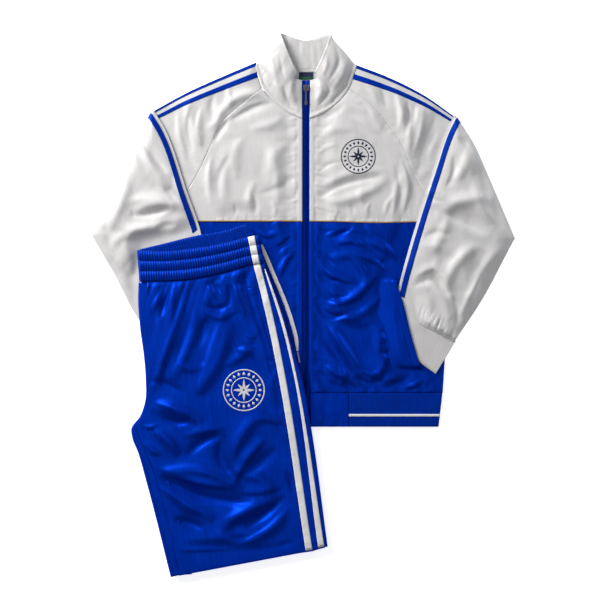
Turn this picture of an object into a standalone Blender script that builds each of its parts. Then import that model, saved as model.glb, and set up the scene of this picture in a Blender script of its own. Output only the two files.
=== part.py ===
"""A two-piece tracksuit laid flat: a zipped jacket on its back, the folded trousers over its lower right.

Lengths are in millimetres and become metres in the meshes. X runs to the wearer's left, Y to the collar.
The floor is Z = 0. "left" and "right" in names are the wearer's sides.
"""

import math

import bpy
import numpy as np

MM = 0.001
WALL = 2.0
GAP = 0.3
ZIP_X = 4.0
ZIP_TOP = 450.0
HEM_SEAM = -176.0
HEM_EDGE = -244.0

# Heights of the underside of each layer of the jacket, from the floor up.
BACK_Z = 0.0
FRONT_Z = 2.3
ARM_LOW_Z = 4.6
ARM_TOP_Z = 7.1

TAPE = 1.0
ZIP_LIFT = TAPE + GAP
COIL_HALF = 3.2
COIL_TALL = 2.2
FOLD_INSET = 4.5

BODY_LOFT = 4.0
ARM_LOFT = 9.0

# The trousers lie over the jacket: what they rest on, and how thick their folded layers are.
OVER_BODY = 6.2
OVER_ARM = 3.0
STACK = 11.0
LEG_LIFT = 2.3
BACK_BAND_LIFT = 3.1

STRIPE = 0.8
RIB = 0.6
BAND_RIBS = 46
BACK_BAND_RIBS = 36
CUFF_RIBS = 14
CUFF_RIB = 0.35
CUFF_Z = 6.75
CUFF_HALF_TALL = 1.1
KNIT = 1.2
COLLAR_WALL = 1.8
CORD_WIDTH = 8.0
CORD_WALL = 1.6

# Plan outlines, each a smooth curve through (x, y).
NECK = {
    "left": [(102, 482), (98, 457), (88, 434), (55, 401), (21, 381), (11.3, 379)],
    "right": [(-96, 486), (-93, 461), (-84, 434), (-53, 403), (-20, 382), (-3.3, 379)],
}
RAGLAN = {
    "left": [(88, 434), (131, 404), (171, 358), (194, 325), (220, 265), (244, 222), (280, 176)],
    "right": [(-84, 434), (-127, 400), (-163, 367), (-185, 324), (-203, 284), (-234, 229), (-272, 176)],
}
ARMPIT = {"left": (294, 152), "right": (-286, 152)}
SIDE = {
    "left": [(294, 152), (290, 30), (284, -80), (278, HEM_SEAM)],
    "right": [(-286, 152), (-282, 30), (-276, -80), (-270, HEM_SEAM)],
}
SHOULDER = {
    "left": [(102, 482), (177, 454), (244, 421), (304, 381)],
    "right": [(-96, 486), (-172, 455), (-234, 428), (-305, 391)],
}
# The line along which each sleeve is folded forward, from the shoulder end to the underarm end.
FOLD = {
    "left": [(304, 381), (340, 325), (376, 245), (424, 132)],
    "right": [(-305, 391), (-335, 333), (-378, 253), (-428, 140)],
}
ROOT_UNDER = {
    "left": [(294, 152), (360, 147), (424, 132)],
    "right": [(-286, 152), (-360, 150), (-428, 140)],
}
ARM_INNER = {
    "left": [(304, 381), (290, 361), (254, 272), (227, 169), (211, 110), (192, 36), (192, -12)],
    "right": [(-305, 391), (-290, 368), (-237, 229), (-206, 138), (-199, 100), (-184, 36), (-184, -12)],
}
ARM_UNDER = {
    "left": [(424, 132), (352, 1), (300, -74)],
    "right": [(-428, 140), (-384, 65), (-332, -28), (-292, -74)],
}
CUFF = {
    "left": [(194, -20), (299, -76), (262, -137), (205, -96)],
    "right": [(-186, -20), (-291, -76), (-254, -137), (-197, -96)],
}
# The pocket opening of the left lower front, with the sleeve's end and cuff tucked into it.
POCKET = [(181, 167), (184, 56), (189, 33), (198, 5), (214, -60), (230, -114), (236, -132), (240, HEM_SEAM)]
POCKET_Y = (56, -130)
TUCKED = [(189, 44), (206, 10), (232, -112), (203, -98), (190, -15)]
TUCK_LIFT = 7.3

# The trousers, lengthwise guide lines from the waistband to the fold at the knee.
TROUSER_LEFT = [
    (-330, 45), (-331, 12), (-327, -47), (-320, -98), (-316, -149), (-317, -192),
    (-327, -222), (-345, -248), (-343, -266), (-332, -294), (-316, -350), (-266, -545),
]
INSEAM = [
    (-313, 45), (-314, 12), (-316, -47), (-313, -98), (-313, -182),
    (-322, -215), (-336, -247), (-327, -272), (-301, -335), (-275, -425), (-250, -541),
]
LEG_POCKET = [(-119, 77), (-115, 37), (-108, 7), (-87, -54), (-72, -100), (-64, -136), (-10, -496)]
STRIPE_ONE = [(-101, 81), (-87, 27), (-67, -60), (-52, -136), (4, -494)]
STRIPE_TWO = [(-83, 83), (-75, 58), (-65, 26), (-45, -38), (-27, -110), (29, -488)]
STRIPE_TWO_OUTER = [(-81.5, 83.5), (-72.5, 59), (-54, 8), (-39, -39), (-18, -128), (41, -485)]
TROUSER_RIGHT = [(-79, 84), (-70, 60), (-44, -12), (-20, -94), (-3, -150), (14, -245), (47, -483)]
BAND_TOP = [(-333, 109), (-283, 107), (-218, 113), (-153, 125), (-114, 135), (-90, 140)]
BAND_BOTTOM = [(-328, 46), (-218, 53), (-153, 67), (-107, 80), (-79, 84)]
BACK_BAND_TOP = [(-333, 110), (-283, 122), (-218, 138), (-153, 150), (-114, 159), (-104, 150)]
DRAWSTRING = [
    (-87, 120, 12.2), (-81, 108, 11.6), (-73, 90, 9.4), (-61, 61, 6.8), (-49, 33, 6.2),
    (-36, 1, 6.4), (-24, -35, 6.9), (-15, -71, 7.1), (-13, -92, 7.2),
]
AGLET = [(-13, -93, 7.9), (-9, -115, 7.9)]

# Folds, each a ridge along a bowed line. Columns: x0, y0, x1, y1, bow, width, height.
BODY_FOLDS = [
    (177, 440, 205, 330, 8, 13, 5.0),
    (237, 400, 207, 292, -6, 13, 5.5),
    (272, 330, 214, 258, 6, 11, 4.0),
    (96, 405, 158, 352, 10, 14, 4.0),
    (40, 205, 170, 256, -12, 15, 5.0),
    (60, 370, 120, 320, 8, 18, 2.5),
    (180, 180, 196, 262, 4, 10, 3.5),
    (205, 178, 214, 240, 3, 9, 3.0),
    (130, 176, 112, 235, 5, 12, 2.5),
    (-70, 420, -172, 372, -22, 14, 5.0),
    (-262, 372, -218, 262, 10, 12, 5.0),
    (-230, 410, -208, 318, -8, 12, 4.5),
    (-165, 400, -190, 350, 5, 11, 3.0),
    (-70, 330, -52, 200, 6, 16, 3.5),
    (-150, 330, -160, 200, -8, 18, 3.0),
    (-110, 180, -100, 250, 4, 11, 3.0),
    (44, 90, 178, 66, 22, 14, 5.0),
    (100, 128, 176, 84, -8, 12, 4.5),
    (50, 30, 130, -40, -18, 16, 5.0),
    (56, -40, 120, -140, -10, 16, 4.5),
    (150, 20, 135, -130, 14, 18, 4.5),
    (60, 150, 140, 140, 6, 10, 3.0),
    (70, -150, 190, -140, -14, 11, 4.5),
    (250, -150, 215, -130, 4, 9, 3.0),
    (-40, 130, -60, 60, 8, 12, 2.5),
]
ARM_FOLDS = {
    "left": [
        (330, 320, 296, 246, 8, 16, 6.0),
        (380, 214, 262, 176, -14, 18, 7.0),
        (290, 196, 250, 100, 8, 15, 4.5),
        (352, 120, 282, 30, -16, 17, 6.5),
        (400, 120, 330, 10, -8, 15, 5.0),
        (236, 60, 292, -30, 10, 12, 4.5),
        (345, 260, 372, 160, -8, 17, 4.0),
    ],
    "right": [
        (-322, 342, -268, 232, -12, 15, 7.0),
        (-352, 272, -392, 150, 8, 18, 4.5),
        (-340, 186, -236, 196, 10, 16, 6.5),
        (-388, 120, -250, 150, 16, 16, 6.0),
        (-372, 60, -340, 10, 4, 13, 3.5),
    ],
}
LEG_FOLDS = [
    (-300, 30, -296, -170, 10, 14, 4.5),
    (-262, 40, -290, -120, 8, 13, 5.0),
    (-214, 48, -262, -150, 12, 15, 6.0),
    (-176, 56, -196, -34, -6, 13, 5.0),
    (-146, 66, -140, -18, 8, 12, 5.0),
    (-150, -30, -212, -178, 12, 17, 6.0),
    (-104, -70, -160, -120, 8, 13, 4.0),
    (-306, -206, -200, -236, 10, 16, 6.0),
    (-300, -250, -250, -300, 6, 14, 4.5),
    (-80, -210, -150, -330, -14, 18, 6.5),
    (-292, -336, -120, -374, 24, 17, 8.0),
    (-150, -330, -60, -366, 8, 15, 4.0),
    (-56, -390, -176, -462, -16, 18, 7.0),
    (-250, -400, -180, -430, 8, 16, 4.0),
    (-240, -470, -60, -486, 12, 20, 5.0),
]


def ease(t):
    t = np.clip(t, 0, 1)
    return t * t * (3 - 2 * t)


def ramp(value, start, end):
    return ease((np.asarray(value, float) - start) / (end - start))


def along(points, t):
    """Points of a smooth curve through the given ones, at the fractions t of its length."""
    p = np.array(points, float)
    at = np.concatenate([[0], np.cumsum(np.linalg.norm(np.diff(p, axis=0), axis=1))])
    at /= at[-1]
    slope = np.gradient(p, at, axis=0)
    t = np.asarray(t, float)
    i = np.clip(np.searchsorted(at, t, side="right") - 1, 0, len(p) - 2)
    h = at[i + 1] - at[i]
    s = ((t - at[i]) / h)[..., None]
    h = h[..., None]
    near = (2 * s**3 - 3 * s**2 + 1) * p[i] + (s**3 - 2 * s**2 + s) * h * slope[i]
    far = (3 * s**2 - 2 * s**3) * p[i + 1] + (s**3 - s**2) * h * slope[i + 1]
    return near + far


def length(points):
    line = along(points, np.linspace(0, 1, 60))
    return float(np.linalg.norm(np.diff(line, axis=0), axis=1).sum())


def distance(outline, x, y):
    """Distance from each x, y to a closed outline, below zero inside it."""
    a = np.array(outline, float)
    b = np.roll(a, -1, axis=0)
    p = np.stack([x, y], -1)[..., None, :]
    ab = b - a
    t = np.clip(((p - a) * ab).sum(-1) / (ab**2).sum(-1), 0, 1)
    far = np.linalg.norm(p - a - t[..., None] * ab, axis=-1).min(-1)
    px, py = p[..., 0], p[..., 1]
    rise = np.where(b[:, 1] == a[:, 1], 1e-9, b[:, 1] - a[:, 1])
    cross = ((a[:, 1] > py) != (b[:, 1] > py)) & (px < (b[:, 0] - a[:, 0]) * (py - a[:, 1]) / rise + a[:, 0])
    return np.where(cross.sum(-1) % 2 == 1, -far, far)


def outline(*curves):
    """A closed outline from curves joined end to end, each given as (points, forwards)."""
    parts = []
    for points, forwards in curves:
        run = along(points, np.linspace(0, 1, 14))
        parts.append(run[:-1] if forwards else run[:0:-1])
    return np.concatenate(parts)


def folded_sleeve(side):
    """Outline of a sleeve's folded part with its cuff."""
    inner_top, outer_top, outer_low, inner_low = CUFF[side]
    down = outline((FOLD[side], True), (ARM_UNDER[side], True))
    cuff_corners = [outer_top, outer_low, inner_low, inner_top]
    return np.concatenate([down, cuff_corners, outline((ARM_INNER[side], False))])


ARM = {side: folded_sleeve(side) for side in ("left", "right")}
BODY = outline(
    (SIDE["left"], False), (ROOT_UNDER["left"], True), (FOLD["left"], False), (SHOULDER["left"], False),
    (NECK["left"], True), (NECK["right"], False), (SHOULDER["right"], True), (FOLD["right"], True),
    (ROOT_UNDER["right"], False), (SIDE["right"], True),
)
JACKET = np.concatenate([BODY, [(-262, HEM_EDGE), (270, HEM_EDGE)]])
TROUSERS = outline(
    (BACK_BAND_TOP, False), (TROUSER_LEFT, True), (TROUSER_RIGHT, False),
)


def relief(x, y, folds):
    """Height that the folds add at x, y."""
    total = np.zeros(np.shape(x))
    for x0, y0, x1, y1, bow, width, height in folds:
        dx, dy = x1 - x0, y1 - y0
        run = math.hypot(dx, dy)
        s = ((x - x0) * dx + (y - y0) * dy) / run**2
        side = ((y - y0) * dx - (x - x0) * dy) / run - bow * 4 * s * (1 - s)
        window = np.sin(math.pi * np.clip(s, 0, 1)) ** 0.7
        total = total + height * window * np.exp(-2 * (side / width) ** 2)
    return total


def rounded(inside, width):
    """From 0 at an edge to 1 at width inside it, steep at the edge as a soft roll is."""
    return 1 - (1 - np.clip(inside / width, 0, 1)) ** 2


def front_under(x, y):
    """Underside of the jacket's front and of the sleeves' near halves."""
    free = rounded(-distance(BODY, x, y), 30) * ramp(y, HEM_SEAM, HEM_SEAM + 40)
    for side in ("left", "right"):
        free = free * ramp(distance(ARM[side], x, y), 28, 54)
    free = free * ramp(distance(TROUSERS, x, y), 24, 54) * ramp(abs(x - ZIP_X), 26, 60)
    zip_edge = ZIP_LIFT * (1 - ramp(abs(x - ZIP_X), 22, 42))
    return FRONT_Z + zip_edge + free * (BODY_LOFT + relief(x, y, BODY_FOLDS))


def arm_rise(side, x, y):
    """How far the folded sleeve's upper layer stands over its flat height."""
    free = rounded(-distance(ARM[side], x, y), 38) * ramp(distance(TROUSERS, x, y), 8, 44)
    if side == "left":
        free = free * ramp(distance(TUCKED, x, y), 12, 44)
    return free * (ARM_LOFT + relief(x, y, ARM_FOLDS[side]))


def arm_drop(x, y):
    """How far the folded sleeve comes down past the edge of what it lies on."""
    return (ARM_LOW_Z - GAP) * ramp(distance(BODY, x, y), 30, 80)


def tuck_rise(x, y):
    """How far the front lies over the cuff in its pocket."""
    return TUCK_LIFT * (1 - ramp(distance(TUCKED, x, y), 8, 46))


def support(x, y):
    """What the trousers' folded layers rest on."""
    body = OVER_BODY * (1 - ramp(distance(JACKET, x, y), 55, 100))
    return body + OVER_ARM * (1 - ramp(distance(ARM["right"], x, y), 55, 100))


def stack_top(x, y):
    """Top of the trousers' folded layers."""
    body = OVER_BODY * (1 - ramp(distance(JACKET, x, y), -50, 110))
    return STACK + body + OVER_ARM * (1 - ramp(distance(ARM["right"], x, y), -50, 110))


def leg_middle(x, y):
    """Middle of the upper leg's cloth, before it turns down at its edges."""
    free = rounded(-distance(LEG, x, y), 30)
    return stack_top(x, y) + LEG_LIFT + WALL / 2 + free * relief(x, y, LEG_FOLDS)


LEG = outline((INSEAM, True), (TROUSER_RIGHT, False))


def patch(start, end, first, last, s, t):
    """A grid between four edges: start and end run along t, first and last along s."""
    w = s[:, None, None]
    v = t[None, :, None]
    first = first + (1 - s[:, None]) * (start[0] - first[0]) + s[:, None] * (end[0] - first[-1])
    last = last + (1 - s[:, None]) * (start[-1] - last[0]) + s[:, None] * (end[-1] - last[-1])
    corners = (1 - v) * ((1 - w) * start[0] + w * end[0]) + v * ((1 - w) * start[-1] + w * end[-1])
    return (1 - w) * start + w * end + (1 - v) * first[:, None] + v * last[:, None] - corners


def between(guides, steps, t):
    """A grid of rows t by columns: guide lines, with steps columns between each and the next."""
    lines = [along(g, t) for g in guides]
    columns = [lines[0]]
    for near, far, count in zip(lines, lines[1:], steps):
        columns += [near + (far - near) * k / count for k in range(1, count + 1)]
    return np.stack(columns, axis=1)


def lifted(plan, z):
    """Plan points with their heights."""
    return np.concatenate([plan, np.broadcast_to(z, plan.shape[:-1])[..., None]], axis=-1)


def normals(grid):
    """Upward unit normals of a grid of points."""
    n = np.cross(np.gradient(grid, axis=1), np.gradient(grid, axis=0))
    n /= np.maximum(np.linalg.norm(n, axis=-1, keepdims=True), 1e-9)
    return n if n[..., 2].mean() > 0 else -n


def finish(name, colour, roughness, metallic=0.0):
    """A Principled material in one colour, given as sRGB hex."""
    material = bpy.data.materials.new(name)
    material.use_nodes = True
    shader = material.node_tree.nodes["Principled BSDF"]
    channels = [int(colour[i : i + 2], 16) / 255 for i in (1, 3, 5)]
    linear = [c / 12.92 if c <= 0.04045 else ((c + 0.055) / 1.055) ** 2.4 for c in channels]
    shader.inputs["Base Color"].default_value = (*linear, 1)
    shader.inputs["Roughness"].default_value = roughness
    shader.inputs["Metallic"].default_value = metallic
    return material


def signed_volume(points, faces):
    total = 0.0
    for face in faces:
        for k in range(1, len(face) - 1):
            total += np.dot(points[face[0]], np.cross(points[face[k]], points[face[k + 1]]))
    return total


def solid(name, points, faces, material, smooth=True):
    """One object from points in millimetres, its faces turned outwards."""
    points = np.array(points, float)
    if signed_volume(points, faces) < 0:
        faces = [face[::-1] for face in faces]
    mesh = bpy.data.meshes.new(name)
    mesh.from_pydata((points * MM).tolist(), [], [list(map(int, face)) for face in faces])
    mesh.materials.append(material)
    if smooth:
        mesh.shade_smooth()
        mesh.set_sharp_from_angle(angle=math.radians(50))
    mesh.validate()
    obj = bpy.data.objects.new(name, mesh)
    bpy.context.scene.collection.objects.link(obj)
    return obj


def grid_faces(rows, columns, loop=False):
    """Faces of a grid of points, its last column joined to its first where it is a loop."""
    last = columns if loop else columns - 1
    return [
        (r * columns + c, r * columns + n, (r + 1) * columns + n, (r + 1) * columns + c)
        for r in range(rows - 1)
        for c, n in ((c, (c + 1) % columns) for c in range(last))
    ]


def wall(name, middle, material, up=None, thickness=WALL, raised=0.0, faces=None, loop=False):
    """Cloth of the given thickness about a grid of middle points, its outer points raised by ribs."""
    if up is None:
        up = normals(middle)
    up = np.broadcast_to(np.asarray(up, float), middle.shape)
    raised = np.broadcast_to(raised, middle.shape[:-1])[..., None]
    if faces is None:
        faces = grid_faces(*middle.shape[:2], loop)
    faces = [half for face in faces for half in (face[:3], (face[0], *face[2:]))]
    outer = (middle + up * (thickness / 2 + raised)).reshape(-1, 3)
    inner = (middle - up * thickness / 2).reshape(-1, 3)
    n = len(outer)
    used = {}
    for face in faces:
        for a, b in zip(face, face[1:] + face[:1]):
            used[(a, b)] = True
    rim = [(b, a, a + n, b + n) for a, b in used if (b, a) not in used]
    back = [tuple(i + n for i in face[::-1]) for face in faces]
    return solid(name, np.concatenate([outer, inner]), list(faces) + back + rim, material)


def laid_on(name, middle, material, up, under=WALL, thickness=STRIPE):
    """A strip on top of a wall, made from the wall's own middle points, moved out."""
    up = np.broadcast_to(np.asarray(up, float), middle.shape)
    return wall(name, middle + up * (under / 2 + GAP + thickness / 2), material, up=up, thickness=thickness)


def sweep(name, loops, material, smooth=False):
    """A solid through closed loops of points, one after another, with flat ends."""
    loops = np.asarray(loops, float)
    count, n = loops.shape[:2]
    ends = [tuple(reversed(range(n))), tuple(range((count - 1) * n, count * n))]
    return solid(name, loops.reshape(-1, 3), grid_faces(count, n, loop=True) + ends, material, smooth)


def prism(name, profile, stations, material, axis=1):
    """A profile of (across, z) swept along X or Y through stations of (place, width scale)."""
    loops = []
    for place, scale in stations:
        along_y = [(ZIP_X + across * scale, place, z) for across, z in profile]
        along_x = [(place, across, z) for across, z in profile]
        loops.append(along_y if axis == 1 else along_x)
    return sweep(name, loops, material)


def joined(target, tool, operation):
    """Adds or cuts tool at target with a Boolean, and leaves tool out of the model."""
    change = target.modifiers.new(operation.lower(), "BOOLEAN")
    change.operation = operation
    change.solver = "EXACT"
    change.object = tool
    tool.hide_render = True
    tool.display_type = "WIRE"


UP = (0.0, 0.0, 1.0)
SEAM_CELLS = 7
SEAM_GAP = 1.0


def seam(side):
    """The raglan seam's points, shared by all four pieces that meet there."""
    return along(RAGLAN[side], np.linspace(0, 1, SEAM_CELLS + 1))


def front_columns(side):
    """X of the front's columns, from the zip out, up to the raglan's lower end."""
    out = 1 if side == "left" else -1
    edge = ZIP_X + out * 7.3
    near = [edge, ZIP_X + out * 15, ZIP_X + out * 24, ZIP_X + out * 44, ZIP_X + out * 64]
    return np.array(near + list(seam(side)[:, 0]))


def yoke_top(side, x):
    """Y of the upper front's edge at x: the neck near the zip, and the raglan seam past it."""
    neck = along(NECK[side], np.linspace(1, 0, 40))
    neck = neck[: np.argmax(neck[:, 1] > 433.9) + 1]
    edge = np.concatenate([neck, seam(side)[1:]])
    order = np.argsort(edge[:, 0])
    return np.interp(x, edge[order, 0], edge[order, 1])


def piping_y(x):
    return 168.0 - 3.0 * np.exp(-(((x - 150.0) / 70.0) ** 2))


def upper_front(side, white):
    x = front_columns(side)
    t = np.linspace(0, 1, 10)[:, None]
    low = piping_y(x) + GAP
    top = yoke_top(side, x) - SEAM_GAP
    plan = np.stack([np.broadcast_to(x, (len(t), len(x))), low + t * (top - low)], axis=-1)
    z = front_under(plan[..., 0], plan[..., 1]) + WALL / 2
    wall(f"front_upper_{side}", lifted(plan, z), white, up=UP)


def lower_front(side, blue, trim):
    """The lower front panel. The left one is slit at its pocket, and its edge there lies over the cuff."""
    slit_y, end_y = POCKET_Y
    y_rows = np.array([168, 140, 112, 84, slit_y, 40, 12, -20, -52, -84, -114, end_y, -152, HEM_SEAM + GAP])
    fall = (168 - y_rows) / (168 - HEM_SEAM)
    x_top = front_columns("left")
    opening = along(POCKET, np.linspace(0, 1, 200))
    slit_x = np.interp(-y_rows, -opening[:, 1], opening[:, 0])
    side_x = np.interp(-y_rows, [-168, -152, -30, 80, -HEM_SEAM], [281, 293.5, 290, 284, 278])
    split = int(np.argmin(abs(x_top - 181)))
    fine = [0.86, 0.93, 1.0]
    inner = np.concatenate([(x_top[: split - 2] - x_top[0]) / (x_top[split] - x_top[0]), fine])
    outer = (x_top[split + 1 :] - x_top[split]) / (x_top[-1] - x_top[split])
    columns = []
    for f in inner:
        columns.append(x_top[0] + f * (slit_x - x_top[0]))
    for g in outer:
        columns.append(slit_x + g * (side_x - slit_x))
    x = np.stack(columns, axis=1)
    x[0] = np.concatenate([x_top[0] + inner * (x_top[split] - x_top[0]), x_top[split + 1 :]])
    y = np.broadcast_to(y_rows[:, None], x.shape).copy()
    y[0] = piping_y(x[0]) - GAP
    y[0, -1] = 168
    if side == "right":
        x = 2 * ZIP_X - x
    z = front_under(x, y) + WALL / 2
    rows, count = x.shape
    grid = np.stack([x, y, z], axis=-1)
    if side == "right":
        wall("front_lower_right", grid, blue, up=UP)
        return grid
    slit = len(inner) - 1
    first, last = 4, int(np.argmax(y_rows == end_y))
    over = grid.copy()
    over[first + 1 : last, : slit + 1, 2] = np.maximum(
        grid[first + 1 : last, : slit + 1, 2],
        FRONT_Z + WALL / 2 + tuck_rise(x, y)[first + 1 : last, : slit + 1],
    )
    extra = grid[first + 1 : last, slit]
    points = np.concatenate([over.reshape(-1, 3), extra])
    faces = []
    for face in grid_faces(rows, count):
        right_of_slit = face[0] % count >= slit
        renamed = []
        for i in face:
            r, c = divmod(i, count)
            apart = right_of_slit and c == slit and first < r < last
            renamed.append(rows * count + r - first - 1 if apart else i)
        faces.append(tuple(renamed))
    wall("front_lower_left", points, blue, up=UP, faces=faces)
    edge = over[first + 1 : last, slit - 1 : slit + 1]
    laid_on("pocket_welt_left", edge, trim, UP)
    return over


def back(white, blue):
    """The two back panels, flat on the floor."""
    x_left = front_columns("left")[::-1]
    x_right = front_columns("right")
    x = np.concatenate([x_right[::-1], x_left[::-1]])
    mid_y = BACK_Z + WALL / 2
    top = np.where(x > ZIP_X, yoke_top("left", x), yoke_top("right", x)) - SEAM_GAP
    hollow = 434 + 36 * np.sqrt(np.clip(1 - ((x - ZIP_X) / 86) ** 2, 0, 1))
    top = np.where(abs(x - ZIP_X) < 80, hollow, top)
    low = piping_y(x) + GAP
    t = np.linspace(0, 1, 3)[:, None]
    plan = np.stack([np.broadcast_to(x, (3, len(x))), low + t * (top - low)], axis=-1)
    wall("jacket_back_upper", lifted(plan, mid_y), white, up=UP)
    t = np.linspace(0, 1, 4)
    left = [(281, 168), (293.5, 151.5), (290, 30), (278, HEM_SEAM + GAP)]
    right = [(2 * ZIP_X - px, py) for px, py in left]
    grid = between([right, left], [8], t)
    grid[0, :, 1] = piping_y(grid[0, :, 0]) - GAP
    wall("jacket_back_lower", lifted(grid, mid_y), blue, up=UP)


def sleeve(side, white, blue):
    """Both halves of a raglan sleeve, folded forward along one line, and the stripes sewn on them."""
    from_top = np.array([0.0, 7.0, 19.0, 30.0])
    neck = NECK[side][:3]
    neck_t = np.concatenate([from_top / length(neck), [1.0]])
    root = np.concatenate([along(neck, neck_t), seam(side)[1:], [ARMPIT[side]]])
    count = len(root)
    fold_t = np.concatenate([from_top, np.linspace(46, length(FOLD[side]), count - 4)]) / length(FOLD[side])
    crease = along(FOLD[side], fold_t)
    tangent = np.gradient(crease, axis=0)
    out = np.stack([-tangent[:, 1], tangent[:, 0]], axis=-1)
    out /= np.linalg.norm(out, axis=-1, keepdims=True)
    if out[0, 0] * (1 if side == "left" else -1) < 0:
        out = -out
    start = crease - FOLD_INSET * out
    end_line = [ARM_INNER[side][-1], ARM_UNDER[side][-1]]
    cut = length(end_line)
    end_t = np.concatenate([np.array([0.0, 5.0, 16.0, 26.0]), np.linspace(36, cut, count - 4)]) / cut
    end = along(end_line, end_t)
    out3 = np.concatenate([out, np.zeros((count, 1))], axis=-1)

    for half in ("front", "back"):
        is_front = half == "front"
        low = (FRONT_Z if is_front else BACK_Z) + WALL / 2
        high = (ARM_LOW_Z if is_front else ARM_TOP_Z) + WALL / 2
        near_s = np.array([0, 0.15, 0.3, 0.45, 0.6, 0.74, 0.83, 0.92, 1.0])
        near_s = near_s if is_front else np.array([0, 0.5, 1.0])
        far_s = np.linspace(0, 1, 7 if is_front else 13)
        top = along(SHOULDER[side], near_s)
        under = along(ROOT_UNDER[side], near_s)
        near = patch(root, start, top, under, near_s, fold_t)
        far = patch(start, end, along(ARM_INNER[side], far_s), along(ARM_UNDER[side], far_s), far_s, fold_t)
        near_z = front_under(near[..., 0], near[..., 1]) + WALL / 2 if is_front else low
        near = lifted(near, near_z)
        near[-1, :, 2] = low
        fall = arm_drop(far[..., 0], far[..., 1])
        if not is_front:
            fall[1::2] = (fall[:-1:2] + fall[2::2]) / 2
        far_z = high - fall
        if not is_front:
            gather = 1.4 * np.cos(math.pi * np.arange(count)) * ramp(far_s, 0.8, 1.0)[:, None]
            clear = ramp(distance(TROUSERS, far[..., 0], far[..., 1]), 8, 30)
            clear = clear * ramp(distance(TUCKED, far[..., 0], far[..., 1]), 12, 30)
            rise = arm_rise(side, far[..., 0], far[..., 1])
            far_z = far_z + rise + (1.4 + gather) * clear * ramp(far_s, 0.8, 1)[:, None]
        far = lifted(far, far_z)
        radius = (high - low) / 2
        turns, ups = [], []
        for k in range(1, 5):
            angle = math.pi * k / 5
            turn = near[-1] + out3 * radius * math.sin(angle)
            turn[:, 2] = low + radius * (1 - math.cos(angle))
            turns.append(turn)
            ups.append(-out3 * math.sin(angle) + np.array(UP) * math.cos(angle))
        middle = np.concatenate([near, np.stack(turns), far])
        up = np.concatenate([
            np.broadcast_to(UP, near.shape), np.stack(ups), np.broadcast_to((0.0, 0.0, -1.0), far.shape),
        ])
        wall(f"sleeve_{side}_{half}", middle, white, up=up)
        if is_front:
            laid_on(f"sleeve_{side}_stripe_shoulder_edge", near[:8, 0:2], blue, UP)
            laid_on(f"sleeve_{side}_stripe_shoulder", near[:7, 2:4], blue, UP)
        else:
            shown = 9 if side == "left" else 8
            laid_on(f"sleeve_{side}_stripe_arm", far[:shown, 1:3], blue, UP)


def cuff(side, white):
    """A knitted cuff: a flattened tube, ribbed on its upper side and plain inside and below."""
    inner_top, outer_top, outer_low, inner_low = [np.array(p, float) for p in CUFF[side]]
    across = (outer_top - inner_top) / np.linalg.norm(outer_top - inner_top)
    turn = math.pi * np.arange(1, 4) / 4
    ribs = np.linspace(0, 1, 2 * CUFF_RIBS + 1)[:, None]
    plain = np.linspace(0, 1, 5)[:, None]
    sideways = np.concatenate([0 * ribs[:, 0], np.sin(turn), 0 * plain[:, 0], -np.sin(turn)])
    upwards = np.concatenate([1 + 0 * ribs[:, 0], np.cos(turn), -1 + 0 * plain[:, 0], -np.cos(turn)])
    raised = np.concatenate([CUFF_RIB * (np.arange(len(ribs)) % 2), np.zeros(len(turn) * 2 + len(plain))])
    rows = []
    for t in np.linspace(0, 1, 4):
        a = inner_top + t * (inner_low - inner_top)
        b = outer_top + t * (outer_low - outer_top)
        corners = [np.tile(corner, (len(turn), 1)) for corner in (b, a)]
        base = [a + ribs * (b - a), corners[0], b + plain * (a - b), corners[1]]
        plan = np.concatenate(base) + CUFF_HALF_TALL * sideways[:, None] * across
        rows.append(lifted(plan, CUFF_Z + CUFF_HALF_TALL * upwards))
    middle = np.stack(rows)
    up = lifted(sideways[:, None] * across, upwards)
    up = np.broadcast_to(up, middle.shape)
    raised = np.broadcast_to(raised, middle.shape[:2])
    wall(f"cuff_{side}", middle, white, up=up, thickness=KNIT, raised=raised, loop=True)


# The collar, from the zip edge round to the centre back.
# Columns: x, y, z of the lower edge, of the middle and of the upper edge.
COLLAR = [
    (-3.6, 380.5, 4.9, -4, 415, 5.4, -4.2, 450, 5.6),
    (-20, 387, 4.9, -18, 420, 8.5, -19, 455, 10),
    (-36, 396, 4.4, -30, 431, 13, -15, 467, 14),
    (-50, 407, 4.2, -42, 444, 15, -21, 480, 17),
    (-66, 423, 4.2, -53, 461, 16, -28, 496, 18),
    (-78, 440, 4.2, -62, 478, 16, -36, 515, 18),
    (-86, 463, 4.2, -68, 496, 14, -42, 532, 15),
    (-90, 486, 3.8, -69, 510, 9.5, -46, 543, 10),
    (-80, 484, 3.4, -60, 510, 4.6, -38, 542, 6),
    (-60, 476, 3.4, -42, 503, 4.6, -22, 536, 5.4),
    (-30, 473, 3.4, -16, 501, 4.6, -8, 532, 5.2),
    (4, 472, 3.4, 4, 500, 4.6, 4, 530, 5.2),
]


def collar(white):
    """The stand collar: one band from the zip round the neck and back to it."""
    half = np.array(COLLAR, float)
    other = half[-2::-1].copy()
    other[:, 0::3] = 2 * ZIP_X - other[:, 0::3]
    stations = np.concatenate([half, other])
    t = np.linspace(0, 1, 31)
    low = along(stations[:, 0:3], t)
    mid = along(stations[:, 3:6], t)
    top = along(stations[:, 6:9], t)
    rows = []
    for v in np.linspace(0, 1, 6):
        rows.append((1 - v) * (1 - 2 * v) * low + 4 * v * (1 - v) * mid + v * (2 * v - 1) * top)
    middle = np.stack(rows)
    n = np.cross(np.gradient(middle, axis=1), np.gradient(middle, axis=0))
    n /= np.linalg.norm(n, axis=-1, keepdims=True)
    wall("collar", middle, white, up=n, thickness=COLLAR_WALL)


def neck_label(green):
    plan = between([[(-10, 468), (-10, 451.5)], [(18, 468), (18, 451.5)]], [2], np.linspace(0, 1, 3))
    wall("neck_label", lifted(plan, WALL + GAP + 0.4), green, up=UP, thickness=0.8)


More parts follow.
